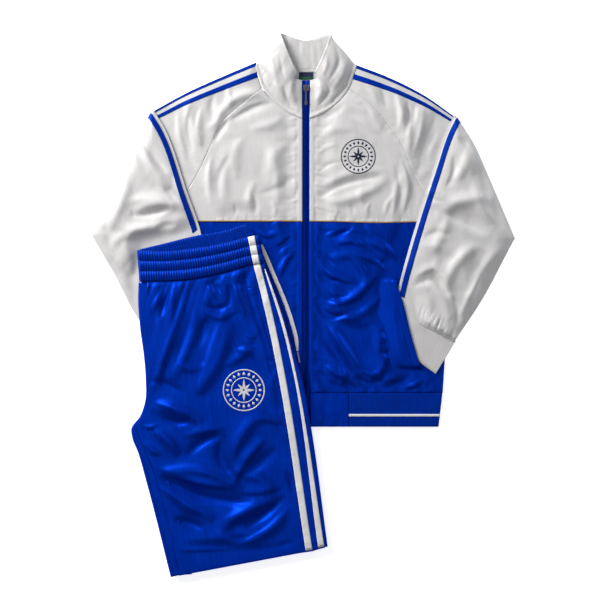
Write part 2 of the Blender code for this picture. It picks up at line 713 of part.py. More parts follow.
def zip_fastener(blue, coil, metal):
    """Tapes, coil, end box, slider and pull of the front zip."""
    for side, edges in (("left", (ZIP_X + 0.4, ZIP_X + 16)), ("right", (ZIP_X - 16, ZIP_X - 0.4))):
        lines = [[(x, HEM_EDGE), (x, ZIP_TOP)] for x in edges]
        tape = between(lines, [1], np.linspace(0, 1, 9))
        wall(f"zip_tape_{side}", lifted(tape, FRONT_Z + TAPE / 2), blue, up=UP, thickness=TAPE)
    base = FRONT_Z + TAPE + GAP
    half_bump = [(COIL_HALF, 0), (COIL_HALF, 1.4), (1.2, COIL_TALL)]
    bump = [(-x, z) for x, z in half_bump] + half_bump[::-1]
    profile = [(x, base + z) for x, z in bump]
    prism("zip_coil", profile, [(HEM_EDGE + 14, 1), (428.5, 1)], coil)
    half_box = [(4.5, base), (4.5, base + 1.7), (3.7, base + 2.4)]
    box = [(-x, z) for x, z in half_box] + half_box[::-1]
    prism("zip_end_box", box, [(HEM_EDGE - 1, 1), (HEM_EDGE + 13.5, 1)], metal)


SLIDER_Y = 435.0
PULL_Z = 9.05


def slider(metal):
    """The slider: a channel over the coil, with a bridge that holds the pull."""
    base = FRONT_Z + TAPE + GAP
    channel = [
        (-4.9, base), (-4.9, 6.9), (-3.9, 7.8), (3.9, 7.8), (4.9, 6.9), (4.9, base),
        (3.7, base), (3.7, 6.3), (-3.7, 6.3), (-3.7, base),
    ]
    body = prism("zip_slider", channel, [(429, 0.86), (434, 1.0), (441, 1.04)], metal)
    arch = [
        (430.2, 7.3), (430.2, 10.7), (431.6, 12.0), (438.4, 12.0), (439.8, 10.7), (439.8, 7.3),
        (438.4, 7.3), (438.4, 10.3), (431.6, 10.3), (431.6, 7.3),
    ]
    bridge = prism("bridge", arch, [(ZIP_X - 1.0, 1), (ZIP_X + 1.0, 1)], metal, axis=0)
    joined(body, bridge, "UNION")


# The pull tab's outline. Columns: distance below its hinge, half width.
PULL = [(-0.75, 2.4), (8.5, 2.4), (10.5, 1.7), (26, 1.9), (29, 2.9), (33, 2.9), (35, 1.8)]


def pull(metal):
    """The pull tab: a plate with a window round the slider's bridge."""
    outer = [(ZIP_X + w, SLIDER_Y - d) for d, w in PULL] + [(ZIP_X - w, SLIDER_Y - d) for d, w in PULL[::-1]]
    n = len(outer)
    points = [(x, y, PULL_Z - 0.75) for x, y in outer] + [(x, y, PULL_Z + 0.75) for x, y in outer]
    sides = [(k, (k + 1) % n, n + (k + 1) % n, n + k) for k in range(n)]
    ends = [tuple(reversed(range(n))), tuple(range(n, 2 * n))]
    plate = solid("zip_pull", points, sides + ends, metal, smooth=False)
    window = prism(
        "window", [(-1.5, PULL_Z - 2), (-1.5, PULL_Z + 2), (1.5, PULL_Z + 2), (1.5, PULL_Z - 2)],
        [(SLIDER_Y - 7.6, 1), (SLIDER_Y - 0.75, 1)], metal,
    )
    joined(plate, window, "DIFFERENCE")


def piping(side, gold):
    """The piping in the seam across the front, on the front's own points."""
    x = front_columns(side)
    x = x[abs(x - ZIP_X) < 212]
    y = piping_y(x)
    z = np.max([front_under(x + step, y) for step in (-8, 0, 8)], axis=0) + WALL + GAP
    profile = [(-1.0, 0.0), (-0.6, 1.0), (0.6, 1.0), (1.0, 0.0)]
    loops = [[(px, py + dy, pz + dz) for dy, dz in profile] for px, py, pz in zip(x, y, z)]
    sweep(f"piping_{side}", loops, gold)


def hem(blue, white):
    """The hem: a plain placket by the zip, then a ribbed band with a white tape, and the back's band."""
    rows = [HEM_SEAM - GAP, -198, -218.5, -223.5, HEM_EDGE]
    for side in ("left", "right"):
        out = 1 if side == "left" else -1
        placket_x = np.array([7.3, 24, 42, 64, 85.7]) * out + ZIP_X
        rib_x = np.array([86, 120, 160, 200, 235, 273.5]) * out + ZIP_X
        for name, x in (("hem_placket", placket_x), ("hem_rib", rib_x)):
            plan = np.stack(np.broadcast_arrays(x[None, :], np.array(rows)[:, None]), axis=-1).astype(float)
            if name == "hem_rib":
                plan[:, -1, 0] -= out * np.linspace(0, 8, len(rows))
            z = FRONT_Z + ZIP_LIFT * (1 - ramp(abs(plan[..., 0] - ZIP_X), 22, 42)) + WALL / 2
            grid = lifted(plan, z)
            wall(f"{name}_{side}", grid, blue, up=UP)
            if name == "hem_rib":
                laid_on(f"hem_stripe_{side}", grid[2:4], white, UP)
    t = np.linspace(0, 1, 2)
    ends = [[(-269.5, rows[0]), (-261.5, rows[-1])], [(277.5, rows[0]), (269.5, rows[-1])]]
    wall("hem_back", lifted(between(ends, [6], t), BACK_Z + WALL / 2), blue, up=UP)


def trouser_stack(blue):
    """The hidden layers of the folded trousers: one rounded solid, layered at its edges."""
    left = [(-329, 86)] + TROUSER_LEFT
    right = [(-92, 112)] + TROUSER_RIGHT
    grid = between([left, right], [6], np.linspace(0, 1, 13))
    rows, columns = grid.shape[:2]
    ids = np.arange(rows * columns).reshape(rows, columns)
    ring = np.concatenate([ids[0, :-1], ids[:-1, -1], ids[-1, :0:-1], ids[:0:-1, 0]])
    flat = grid.reshape(-1, 2)
    edge = flat[ring]
    tangent = np.roll(edge, -1, axis=0) - np.roll(edge, 1, axis=0)
    out = np.stack([tangent[:, 1], -tangent[:, 0]], axis=-1)
    out /= np.linalg.norm(out, axis=-1, keepdims=True)
    centre = flat.mean(axis=0)
    if ((edge - centre) * out).sum() < 0:
        out = -out
    inset = 9.0
    flat = flat.copy()
    flat[ring] = edge - inset * out
    low = support(flat[:, 0], flat[:, 1]) * (1 + GAP / OVER_BODY)
    high = stack_top(flat[:, 0], flat[:, 1])
    high[ring] -= 2.0
    points = [np.column_stack([flat, low]), np.column_stack([flat, high])]
    layers = [(0.05, 5.5), (0.17, 4.6), (0.29, 5.5), (0.335, 7.6), (0.38, 5.5)]
    layers += [(0.62, 5.5), (0.665, 7.6), (0.71, 5.5), (0.95, 5.5)]
    for share, depth in layers:
        plan = edge - depth * out
        z = low[ring] + share * (high[ring] - low[ring])
        points.append(np.column_stack([plan, z]))
    n = len(flat)
    faces = [face[::-1] for face in grid_faces(rows, columns)]
    faces += [tuple(i + n for i in face) for face in grid_faces(rows, columns)]
    m = len(ring)
    loops = [list(ring)] + [list(2 * n + k * m + np.arange(m)) for k in range(len(layers))] + [list(ring + n)]
    step = {(a, b) for face in faces for a, b in zip(face, face[1:] + face[:1])}
    forwards = (ring[0], ring[1]) in step
    for below, above in zip(loops, loops[1:]):
        for k in range(m):
            j = (k + 1) % m
            quad = (below[j], below[k], above[k], above[j])
            faces.append(quad if forwards else quad[::-1])
    solid("trousers_folded_layers", np.concatenate(points), faces, blue)


def trouser_leg(blue, white):
    """The upper leg of the folded trousers with its welt and stripes, and a strip of the other leg."""
    body_rows = np.linspace(0, 1, 21)[:-1]
    run = 590.0
    turned = np.array([3.5, 0.6, 0.0, 1.8])
    drop_rows = np.concatenate([np.zeros(len(body_rows)), [0.0, 3.0, 7.5, 11.0]])
    t = np.concatenate([body_rows, 1 - turned / run])
    near_edge = [(x - 0.6, y) for x, y in TROUSER_RIGHT]
    tuck_edge = [(x - 0.3, y) for x, y in TROUSER_RIGHT]
    stripe_one_outer = [(x + 13, y + 2) for x, y in STRIPE_ONE]
    guides = [INSEAM, LEG_POCKET, STRIPE_ONE, stripe_one_outer]
    guides += [STRIPE_TWO, STRIPE_TWO_OUTER, near_edge, tuck_edge]
    plan = between(guides, [10, 1, 1, 1, 1, 1, 1], t)
    band = along(BAND_BOTTOM, np.linspace(0, 1, 30))
    plan[..., 1] += (np.interp(plan[0, :, 0], *band.T) - SEAM_GAP - plan[0, :, 1]) * ramp(t, 0.25, 0)[:, None]
    drop_columns = np.zeros(plan.shape[1])
    drop_columns[-2:] = (3.0, 8.0)
    z = leg_middle(plan[..., 0], plan[..., 1])
    gather = np.zeros(plan.shape[1])
    gather[1:10] = (-1.0) ** np.arange(9)
    by_band = np.exp(-((t / 0.09) ** 2)) * ramp(t, -0.01, 0.03)
    z = z + (1 + gather) * by_band[:, None]
    z[:, 0] = stack_top(plan[:, 0, 0], plan[:, 0, 1]) + LEG_LIFT + WALL / 2
    z = z - np.maximum(drop_rows[:, None], drop_columns[None, :])
    grid = lifted(plan, z)
    up = normals(grid)
    wall("trouser_leg_front", grid, blue, up=up)
    flat = len(body_rows) + 1
    laid_on("trouser_stripe_one", grid[:flat, 11:13], white, up[:flat, 11:13])
    laid_on("trouser_stripe_two", grid[2:flat, 13:15], white, up[2:flat, 13:15])
    welt = grid[2:8, 10:12].copy()
    welt[:, 1] -= 0.25 * (welt[:, 1] - welt[:, 0])
    laid_on("trouser_pocket_welt", welt, blue, up[2:8, 10:12])
    under = [(x + 26, y + 2) for x, y in INSEAM]
    strip = between([TROUSER_LEFT, INSEAM, under], [1, 1], np.concatenate([body_rows, [0.98]]))
    z = stack_top(strip[..., 0], strip[..., 1]) + 0.4 + 0.8
    z[:, 0] -= 1.2
    wall("trouser_leg_under", lifted(strip, z), blue, up=UP, thickness=1.6)


def waistband(blue, white):
    """The elastic waistband: its front in three ribbed rows, and the back that shows inside it."""
    ribs = np.linspace(0, 1, 2 * BAND_RIBS + 1)
    edge = np.array([0.0, 0.004, 0.012])
    t = np.concatenate([edge, ribs[2:-2], 1 - edge[::-1]])
    top = along(BAND_TOP, t)
    low = along(BAND_BOTTOM, t)
    rows_v = np.array([0, 0.17, 0.335, 0.5, 0.665, 0.83, 0.995])
    puff = np.array([0, 2.3, 0.3, 2.3, 0.3, 2.3, 0.4])
    plan = top[None] + rows_v[:, None, None] * (low - top)[None]
    z = stack_top(plan[..., 0], plan[..., 1]) + LEG_LIFT + WALL / 2 + puff[:, None]
    drop = np.zeros(len(t))
    drop[[0, 1, -2, -1]] = (5.0, 1.6, 1.6, 5.0)
    z = z - drop[None, :]
    z[0] -= 0.8
    grid = lifted(plan, z)
    raised = np.zeros(plan.shape[:2])
    raised[:, 3:-3] = RIB * (np.arange(len(t) - 6) % 2)[None, :]
    raised[[0, -1]] = 0
    up = normals(grid)
    wall("trouser_waistband_front", grid, blue, up=up, raised=raised)
    across = np.linalg.norm(top - np.array([-112, 135.6]), axis=-1)
    k = int(np.argmin(across))
    strip_up = up[:, k : k + 6]
    laid_on("trouser_stripe_band", grid[:, k : k + 6] + strip_up * RIB, white, strip_up)
    back_t = np.linspace(0.02, 0.99, 2 * BACK_BAND_RIBS + 1)
    top = along(BACK_BAND_TOP, back_t)
    low = along([(x + 3, y - 12) for x, y in BAND_TOP], back_t)
    plan = np.stack([top, low])
    z = support(plan[..., 0], plan[..., 1]) + BACK_BAND_LIFT
    raised = RIB * (np.arange(len(back_t)) % 2)
    wall("trouser_waistband_back", lifted(plan, z), blue, up=UP, raised=raised)


def drawstring(white, metal):
    """The flat cord that hangs out of the waistband and lies on the jacket, and its aglet."""
    t = np.linspace(0, 1, 17)
    line = along(DRAWSTRING, t)
    way = np.gradient(line, axis=0)
    way /= np.linalg.norm(way, axis=-1, keepdims=True)
    across = np.cross(way, UP)
    across /= np.linalg.norm(across, axis=-1, keepdims=True)
    grid = np.stack([line + share * CORD_WIDTH * across for share in (-0.5, -0.3, 0.3, 0.5)], axis=1)
    wall("drawstring", grid, white, thickness=CORD_WALL)
    start, end = [np.array(p, float) for p in AGLET]
    curve = bpy.data.curves.new("drawstring_aglet", "CURVE")
    curve.dimensions = "3D"
    spline = curve.splines.new("POLY")
    spline.points.add(1)
    begin = start + (end - start) * 0.04
    spline.points[0].co = (*(begin * MM), 1)
    spline.points[1].co = (*(end * MM), 1)
    curve.bevel_depth = 1.5 * MM
    curve.bevel_resolution = 2
    curve.use_fill_caps = True
    curve.materials.append(metal)
    obj = bpy.data.objects.new("drawstring_aglet", curve)
    bpy.context.scene.collection.objects.link(obj)


def main():
    for obj in list(bpy.data.objects):
        bpy.data.objects.remove(obj)
    white = finish("white satin tricot", "#e8e8ea", 0.45)
    blue = finish("blue satin tricot", "#0a3fc4", 0.42)
    knit_white = finish("white rib knit", "#e2e2e4", 0.8)
    gold = finish("gold piping", "#c79a3a", 0.5)
    green = finish("woven label", "#16423c", 0.7)
    metal = finish("dark zip metal", "#5a5d63", 0.35, 1.0)
    coil = finish("blue zip coil", "#0b2f8f", 0.5)
    back(white, blue)
    for side in ("left", "right"):
        upper_front(side, white)
        lower_front(side, blue, blue)
        piping(side, gold)
        sleeve(side, white, blue)
        cuff(side, knit_white)
    collar(white)
    neck_label(green)
    zip_fastener(blue, coil, metal)
    slider(metal)
    pull(metal)
    hem(blue, white)
    trouser_stack(blue)
    trouser_leg(blue, white)
    waistband(blue, white)
    drawstring(white, knit_white)


main()
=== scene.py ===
"""Looks of a two-piece tracksuit laid flat: satin jersey, rib knit, tapes, zip and stitching.

Plans are in millimetres, as in the part's own source, and become metres in the meshes.
X runs to the wearer's left, Y to the collar, Z up from the floor. "left" and "right" are the wearer's.
"""

import math

import bpy
import numpy as np
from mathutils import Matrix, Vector


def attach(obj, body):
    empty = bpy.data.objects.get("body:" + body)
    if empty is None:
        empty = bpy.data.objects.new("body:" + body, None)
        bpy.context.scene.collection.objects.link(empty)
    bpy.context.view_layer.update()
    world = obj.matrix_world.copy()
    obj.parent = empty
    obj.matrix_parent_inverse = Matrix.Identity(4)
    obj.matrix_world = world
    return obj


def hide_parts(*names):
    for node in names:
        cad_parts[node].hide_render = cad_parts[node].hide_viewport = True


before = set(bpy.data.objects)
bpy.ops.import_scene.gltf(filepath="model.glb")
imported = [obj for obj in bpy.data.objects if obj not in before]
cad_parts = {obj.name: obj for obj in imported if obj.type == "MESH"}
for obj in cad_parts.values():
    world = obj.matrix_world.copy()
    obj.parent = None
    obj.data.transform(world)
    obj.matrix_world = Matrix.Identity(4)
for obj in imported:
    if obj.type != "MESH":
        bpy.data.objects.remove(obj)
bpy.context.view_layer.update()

MM = 0.001
BODY = "set"
UP = np.array([0.0, 0.0, 1.0])
# The wearer's left is at +X.
OUTWARD = {"left": 1, "right": -1}

# Layers, as in the solids: undersides of the cloth from the floor up.
WALL = 2.0
GAP = 0.3
ZIP_X = 4.0
# From the zip's middle to the front panels' edges.
ZIP_SIDE = 7.3
ZIP_TOP = 450.0
HEM_SEAM = -176.0
HEM_EDGE = -244.0
BACK_Z = 0.0
FRONT_Z = 2.3
ARM_LOW_Z = 4.6
ARM_TOP_Z = 7.1
ZIP_LIFT = 1.3
FOLD_INSET = 4.5
BODY_LOFT = 4.0
ARM_LOFT = 9.0
OVER_BODY = 6.2
OVER_ARM = 3.0
STACK = 11.0
LEG_LIFT = 2.3
BACK_BAND_LIFT = 3.1
CUFF_Z = 6.75

# Thickness that each cloth shows.
JERSEY = 1.0
TAPE = 0.7
RIB_KNIT = 1.2

# Plan outlines, each a smooth curve through (x, y).
NECK = {
    "left": [(102, 482), (98, 457), (88, 434), (55, 401), (21, 381), (11.3, 379)],
    "right": [(-96, 486), (-93, 461), (-84, 434), (-53, 403), (-20, 382), (-3.3, 379)],
}
RAGLAN = {
    "left": [(88, 434), (131, 404), (171, 358), (194, 325), (220, 265), (244, 222), (280, 176)],
    "right": [(-84, 434), (-127, 400), (-163, 367), (-185, 324), (-203, 284), (-234, 229), (-272, 176)],
}
ARMPIT = {"left": (294, 152), "right": (-286, 152)}
SIDE = {
    "left": [(294, 152), (290, 30), (284, -80), (278, HEM_SEAM)],
    "right": [(-286, 152), (-282, 30), (-276, -80), (-270, HEM_SEAM)],
}
SHOULDER = {
    "left": [(102, 482), (177, 454), (244, 421), (304, 381)],
    "right": [(-96, 486), (-172, 455), (-234, 428), (-305, 391)],
}
# The line along which each sleeve is folded forward, from the shoulder end to the underarm end.
FOLD = {
    "left": [(304, 381), (340, 325), (376, 245), (424, 132)],
    "right": [(-305, 391), (-335, 333), (-378, 253), (-428, 140)],
}
ROOT_UNDER = {
    "left": [(294, 152), (360, 147), (424, 132)],
    "right": [(-286, 152), (-360, 150), (-428, 140)],
}
ARM_INNER = {
    "left": [(304, 381), (294, 362), (262, 272), (228, 169), (210, 110), (190, 36), (180, -12)],
    "right": [(-305, 391), (-290, 368), (-237, 229), (-206, 138), (-199, 100), (-184, 36), (-184, -12)],
}
ARM_UNDER = {
    "left": [(424, 132), (352, 1), (300, -74)],
    "right": [(-428, 140), (-384, 65), (-332, -28), (-292, -74)],
}
CUFF = {
    "left": [(193, -15), (300, -75), (262, -137), (205, -96)],
    "right": [(-185, -15), (-292, -75), (-254, -137), (-197, -96)],
}
# The pocket opening of the left lower front, with the sleeve's end and cuff tucked into it.
POCKET = [(181, 167), (184, 56), (189, 33), (198, 5), (214, -60), (230, -114), (236, -132), (240, HEM_SEAM)]
POCKET_Y = (56, -130)
TUCKED = [(189, 44), (206, 10), (232, -112), (203, -98), (190, -15)]
TUCK_LIFT = 7.3

# The trousers, lengthwise guide lines from the waistband to the fold at the knee.
TROUSER_LEFT = [
    (-330, 45), (-331, 12), (-327, -47), (-320, -98), (-316, -149), (-317, -192),
    (-327, -222), (-345, -248), (-343, -266), (-332, -294), (-316, -350), (-266, -545),
]
INSEAM = [
    (-313, 45), (-314, 12), (-316, -47), (-313, -98), (-313, -182),
    (-322, -215), (-336, -247), (-327, -272), (-301, -335), (-275, -425), (-250, -541),
]
LEG_POCKET = [(-119, 77), (-115, 37), (-108, 7), (-87, -54), (-72, -100), (-64, -136), (-10, -496)]
STRIPE_ONE = [(-101, 81), (-87, 27), (-67, -60), (-52, -136), (4, -494)]
STRIPE_TWO = [(-83, 83), (-75, 58), (-65, 26), (-45, -38), (-27, -110), (29, -488)]
STRIPE_TWO_OUTER = [(-81.5, 83.5), (-72.5, 59), (-54, 8), (-39, -39), (-18, -128), (41, -485)]
TROUSER_RIGHT = [(-79, 84), (-70, 60), (-44, -12), (-20, -94), (-3, -150), (14, -245), (47, -483)]
BAND_TOP = [(-333, 109), (-283, 107), (-218, 113), (-153, 125), (-114, 135), (-90, 140)]
BAND_BOTTOM = [(-328, 46), (-218, 53), (-153, 67), (-107, 80), (-79, 84)]
BACK_BAND_TOP = [(-333, 110), (-283, 122), (-218, 138), (-153, 150), (-114, 159), (-104, 150)]
DRAWSTRING = [
    (-87, 120, 12.2), (-81, 108, 11.6), (-73, 90, 9.4), (-61, 61, 6.8), (-49, 33, 6.2),
    (-36, 1, 6.4), (-24, -35, 6.9), (-15, -71, 7.1), (-13, -92, 7.2),
]

# Folds, each a ridge along a bowed line. Columns: x0, y0, x1, y1, bow, width, height.
BODY_FOLDS = [
    (177, 440, 205, 330, 8, 13, 5.0),
    (237, 400, 207, 292, -6, 13, 5.5),
    (272, 330, 214, 258, 6, 11, 4.0),
    (96, 405, 158, 352, 10, 14, 4.0),
    (40, 205, 170, 256, -12, 15, 5.0),
    (60, 370, 120, 320, 8, 18, 2.5),
    (180, 180, 196, 262, 4, 10, 3.5),
    (205, 178, 214, 240, 3, 9, 3.0),
    (130, 176, 112, 235, 5, 12, 2.5),
    (-70, 420, -172, 372, -22, 14, 5.0),
    (-262, 372, -218, 262, 10, 12, 5.0),
    (-230, 410, -208, 318, -8, 12, 4.5),
    (-165, 400, -190, 350, 5, 11, 3.0),
    (-70, 330, -52, 200, 6, 16, 3.5),
    (-150, 330, -160, 200, -8, 18, 3.0),
    (-110, 180, -100, 250, 4, 11, 3.0),
    (44, 90, 178, 66, 22, 14, 5.0),
    (100, 128, 176, 84, -8, 12, 4.5),
    (50, 30, 130, -40, -18, 16, 5.0),
    (56, -40, 120, -140, -10, 16, 4.5),
    (150, 20, 135, -130, 14, 18, 4.5),
    (60, 150, 140, 140, 6, 10, 3.0),
    (70, -150, 190, -140, -14, 11, 4.5),
    (250, -150, 215, -130, 4, 9, 3.0),
    (-40, 130, -60, 60, 8, 12, 2.5),
]
ARM_FOLDS = {
    "left": [
        (330, 320, 296, 246, 8, 16, 6.0),
        (380, 214, 262, 176, -14, 18, 7.0),
        (290, 196, 250, 100, 8, 15, 4.5),
        (352, 120, 282, 30, -16, 17, 6.5),
        (400, 120, 330, 10, -8, 15, 5.0),
        (236, 60, 292, -30, 10, 12, 4.5),
        (345, 260, 372, 160, -8, 17, 4.0),
    ],
    "right": [
        (-322, 342, -268, 232, -12, 15, 7.0),
        (-352, 272, -392, 150, 8, 18, 4.5),
        (-340, 186, -236, 196, 10, 16, 6.5),
        (-388, 120, -250, 150, 16, 16, 6.0),
        (-372, 60, -340, 10, 4, 13, 3.5),
    ],
}
LEG_FOLDS = [
    (-300, 30, -296, -170, 10, 14, 4.5),
    (-262, 40, -290, -120, 8, 13, 5.0),
    (-214, 48, -262, -150, 12, 15, 6.0),
    (-176, 56, -196, -34, -6, 13, 5.0),
    (-146, 66, -140, -18, 8, 12, 5.0),
    (-150, -30, -212, -178, 12, 17, 6.0),
    (-104, -70, -160, -120, 8, 13, 4.0),
    (-306, -206, -200, -236, 10, 16, 6.0),
    (-300, -250, -250, -300, 6, 14, 4.5),
    (-80, -210, -150, -330, -14, 18, 6.5),
    (-292, -336, -120, -374, 24, 17, 8.0),
    (-150, -330, -60, -366, 8, 15, 4.0),
    (-56, -390, -176, -462, -16, 18, 7.0),
    (-250, -400, -180, -430, 8, 16, 4.0),
    (-240, -470, -60, -486, 12, 20, 5.0),
]


# The collar, from the zip edge round to the centre back.
# Columns: x, y, z of the lower edge, of the middle and of the upper edge.
COLLAR = [
    (-3.6, 380.5, 4.9, -4, 415, 5.4, -4.2, 450, 5.6),
    (-20, 387, 4.9, -18, 420, 8.5, -19, 455, 10),
    (-36, 396, 4.4, -30, 431, 13, -15, 467, 14),
    (-50, 407, 4.2, -42, 444, 15, -21, 480, 17),
    (-66, 423, 4.2, -53, 461, 16, -28, 496, 18),
    (-78, 440, 4.2, -62, 478, 16, -36, 515, 18),
    (-86, 463, 4.2, -68, 496, 14, -42, 532, 15),
    (-90, 486, 3.8, -69, 510, 9.5, -46, 543, 10),
    (-80, 484, 3.4, -60, 510, 4.6, -38, 542, 6),
    (-60, 476, 3.4, -42, 503, 4.6, -22, 536, 5.4),
    (-30, 473, 3.4, -16, 501, 4.6, -8, 532, 5.2),
    (4, 472, 3.4, 4, 500, 4.6, 4, 530, 5.2),
]

# Finer creases that the solids leave out, each along a smooth curve through three points.
# Columns: x0, y0, x1, y1, x2, y2, width, height, lean. A trough has a height below zero.
# lean above zero makes the side to the right of the line steeper.
FRONT_CREASES = [
    (25, 212, 71, 238, 157, 258, 9, -3.0, 0.3),
    (30, 236, 90, 262, 168, 270, 10, 2.2, 0.0),
    (25, 262, 52, 282, 84, 286, 5, -1.2, 0.2),
    (25, 300, 45, 316, 70, 322, 5, 1.0, 0.0),
    (95, 404, 120, 396, 138, 372, 6, -2.0, 0.0),
    (91, 380, 120, 362, 150, 338, 7, 1.8, 0.2),
    (197, 178, 209, 236, 194, 292, 6, 2.6, 0.3),
    (183, 178, 192, 230, 184, 280, 6, -2.4, 0.0),
    (216, 178, 222, 210, 214, 246, 5, -2.0, 0.0),
    (160, 176, 166, 200, 180, 222, 5, 1.6, 0.0),
    (128, 176, 126, 192, 134, 208, 4, 1.2, 0.0),
    (98, 176, 98, 190, 92, 204, 4, -1.0, 0.0),
    (62, 176, 66, 188, 60, 200, 4, 1.0, 0.0),
    (28, 330, 60, 352, 100, 350, 10, 1.8, 0.0),
    (20, 372, 60, 384, 84, 404, 8, -1.6, 0.0),
    (184, 420, 194, 380, 187, 344, 6, 3.0, 0.3),
    (206, 408, 207, 372, 202, 336, 6, -3.2, 0.2),
    (240, 398, 231, 342, 217, 298, 6, 3.2, 0.3),
    (222, 404, 220, 366, 214, 326, 6, -2.6, 0.0),
    (262, 376, 250, 330, 228, 286, 7, -2.6, 0.2),
    (286, 360, 262, 320, 238, 282, 7, 2.4, 0.0),
    (230, 252, 252, 268, 278, 298, 5, 2.6, 0.3),
    (236, 246, 262, 254, 290, 280, 5, -2.6, 0.0),
    (222, 262, 240, 286, 258, 316, 5, -2.0, 0.0),
    (120, 452, 140, 424, 148, 398, 8, 2.0, 0.0),
    (150, 444, 160, 418, 164, 392, 6, -2.0, 0.2),
    (48, 134, 70, 140, 100, 156, 6, -3.0, 0.4),
    (60, 122, 95, 128, 126, 118, 8, 2.6, 0.2),
    (98, 113, 140, 96, 184, 60, 8, -4.0, 0.4),
    (120, 130, 156, 118, 190, 88, 9, 2.8, 0.0),
    (90, 98, 120, 66, 124, 30, 9, 2.4, 0.0),
    (24, 104, 40, 96, 60, 78, 5, -2.4, 0.3),
    (26, 90, 52, 62, 108, 42, 7, 2.8, 0.2),
    (24, 64, 44, 52, 78, 46, 5, -2.6, 0.2),
    (25, 40, 55, 12, 92, 18, 6, -3.0, 0.3),
    (48, -4, 95, 12, 150, 66, 9, 3.2, 0.3),
    (23, 0, 50, -24, 98, -16, 6, -3.2, 0.3),
    (60, -30, 110, -20, 160, 22, 9, 2.2, 0.0),
    (28, -34, 58, -92, 98, -144, 9, -3.6, 0.3),
    (44, -36, 80, -84, 112, -128, 9, 2.4, 0.0),
    (98, -140, 130, -162, 172, -140, 7, -2.8, 0.2),
    (112, -128, 140, -140, 176, -64, 9, 3.0, 0.3),
    (150, -92, 172, -100, 206, -94, 8, -2.8, 0.2),
    (148, -56, 168, -70, 200, -60, 8, 1.8, 0.0),
    (28, -132, 36, -152, 62, -164, 5, -2.4, 0.2),
    (44, -120, 64, -136, 92, -150, 6, 2.2, 0.0),
    (72, -118, 78, -142, 74, -166, 5, 1.8, 0.0),
    (164, -168, 192, -158, 218, -138, 6, -2.6, 0.2),
    (196, -170, 220, -160, 240, -146, 5, 2.2, 0.0),
    (244, -168, 256, -156, 272, -150, 5, -2.0, 0.0),
    (30, 154, 40, 146, 58, 150, 4, -1.8, 0.2),
    (120, 158, 142, 148, 160, 132, 6, 1.8, 0.0),
    (-56, 408, -100, 396, -150, 368, 8, -3.0, 0.3),
    (-150, 372, -168, 350, -182, 322, 7, -2.8, 0.2),
    (-40, 376, -70, 360, -110, 352, 10, 2.2, 0.0),
    (-24, 330, -60, 300, -72, 240, 12, 2.0, 0.0),
    (-16, 262, -48, 236, -92, 222, 9, -2.0, 0.2),
    (-120, 340, -140, 300, -136, 250, 12, 2.4, 0.2),
    (-150, 300, -168, 262, -170, 210, 8, -2.2, 0.0),
    (-186, 300, -192, 250, -184, 196, 7, 2.4, 0.2),
    (-100, 176, -96, 200, -108, 232, 6, -1.8, 0.0),
    (-60, 176, -58, 192, -66, 210, 5, 1.4, 0.0),
    (-140, 176, -136, 190, -142, 206, 4, -1.2, 0.0),
    (-206, 396, -212, 352, -204, 312, 7, 3.0, 0.2),
    (-226, 400, -232, 356, -222, 308, 6, -2.8, 0.2),
    (-254, 388, -250, 340, -236, 290, 7, 3.0, 0.2),
    (-180, 424, -186, 396, -178, 362, 7, -2.4, 0.0),
    (-150, 440, -150, 416, -142, 396, 6, 2.0, 0.0),
    (-222, 262, -240, 280, -262, 312, 5, 2.2, 0.0),
    (-228, 250, -252, 258, -276, 282, 5, -2.4, 0.0),
    (-24, 140, -44, 118, -74, 104, 6, -2.6, 0.2),
    (-20, 108, -40, 84, -52, 50, 6, 2.4, 0.0),
    (-100, 158, -76, 140, -50, 146, 6, 2.0, 0.0),
]
ARM_CREASES = {
    "left": [
        (304, 336, 318, 326, 336, 304, 5, -2.2, 0.0),
        (298, 300, 300, 270, 284, 232, 7, -3.0, 0.2),
        (330, 330, 336, 290, 330, 246, 12, 3.0, 0.0),
        (252, 196, 306, 172, 368, 140, 13, -5.0, 0.4),
        (258, 220, 320, 208, 392, 160, 14, 3.0, 0.0),
        (240, 134, 262, 144, 292, 138, 7, -2.4, 0.0),
        (232, 118, 262, 118, 300, 96, 10, 2.2, 0.0),
        (330, 130, 316, 80, 330, 30, 16, 2.4, 0.0),
        (216, 36, 250, 50, 288, 14, 9, -4.0, 0.2),
        (222, 56, 256, 74, 300, 8, 8, 3.2, 0.3),
        (296, 20, 306, -10, 304, -44, 7, -2.6, 0.2),
        (352, 60, 330, 16, 308, -26, 8, 2.6, 0.2),
        (236, 250, 250, 232, 272, 222, 5, 2.0, 0.0),
        (240, 226, 256, 212, 280, 206, 4, -1.8, 0.0),
        (380, 220, 388, 180, 400, 150, 9, -2.0, 0.0),
        (346, 290, 358, 250, 372, 206, 9, -2.0, 0.0),
    ],
    "right": [
        (-330, 344, -306, 300, -272, 262, 9, -4.0, 0.2),
        (-346, 330, -334, 280, -300, 236, 10, 2.6, 0.0),
        (-348, 178, -306, 182, -262, 194, 9, -4.0, 0.3),
        (-356, 206, -310, 212, -262, 214, 10, 2.4, 0.0),
        (-392, 190, -372, 160, -330, 150, 10, 2.4, 0.0),
        (-400, 160, -386, 120, -372, 90, 9, -2.4, 0.0),
        (-362, 130, -350, 100, -344, 60, 10, 2.6, 0.0),
        (-366, 300, -372, 250, -392, 200, 9, 2.0, 0.0),
        (-258, 262, -250, 232, -240, 212, 6, 2.4, 0.0),
        (-282, 240, -266, 220, -250, 204, 5, -2.0, 0.0),
        (-296, 150, -280, 158, -256, 160, 7, -2.4, 0.0),
    ],
}
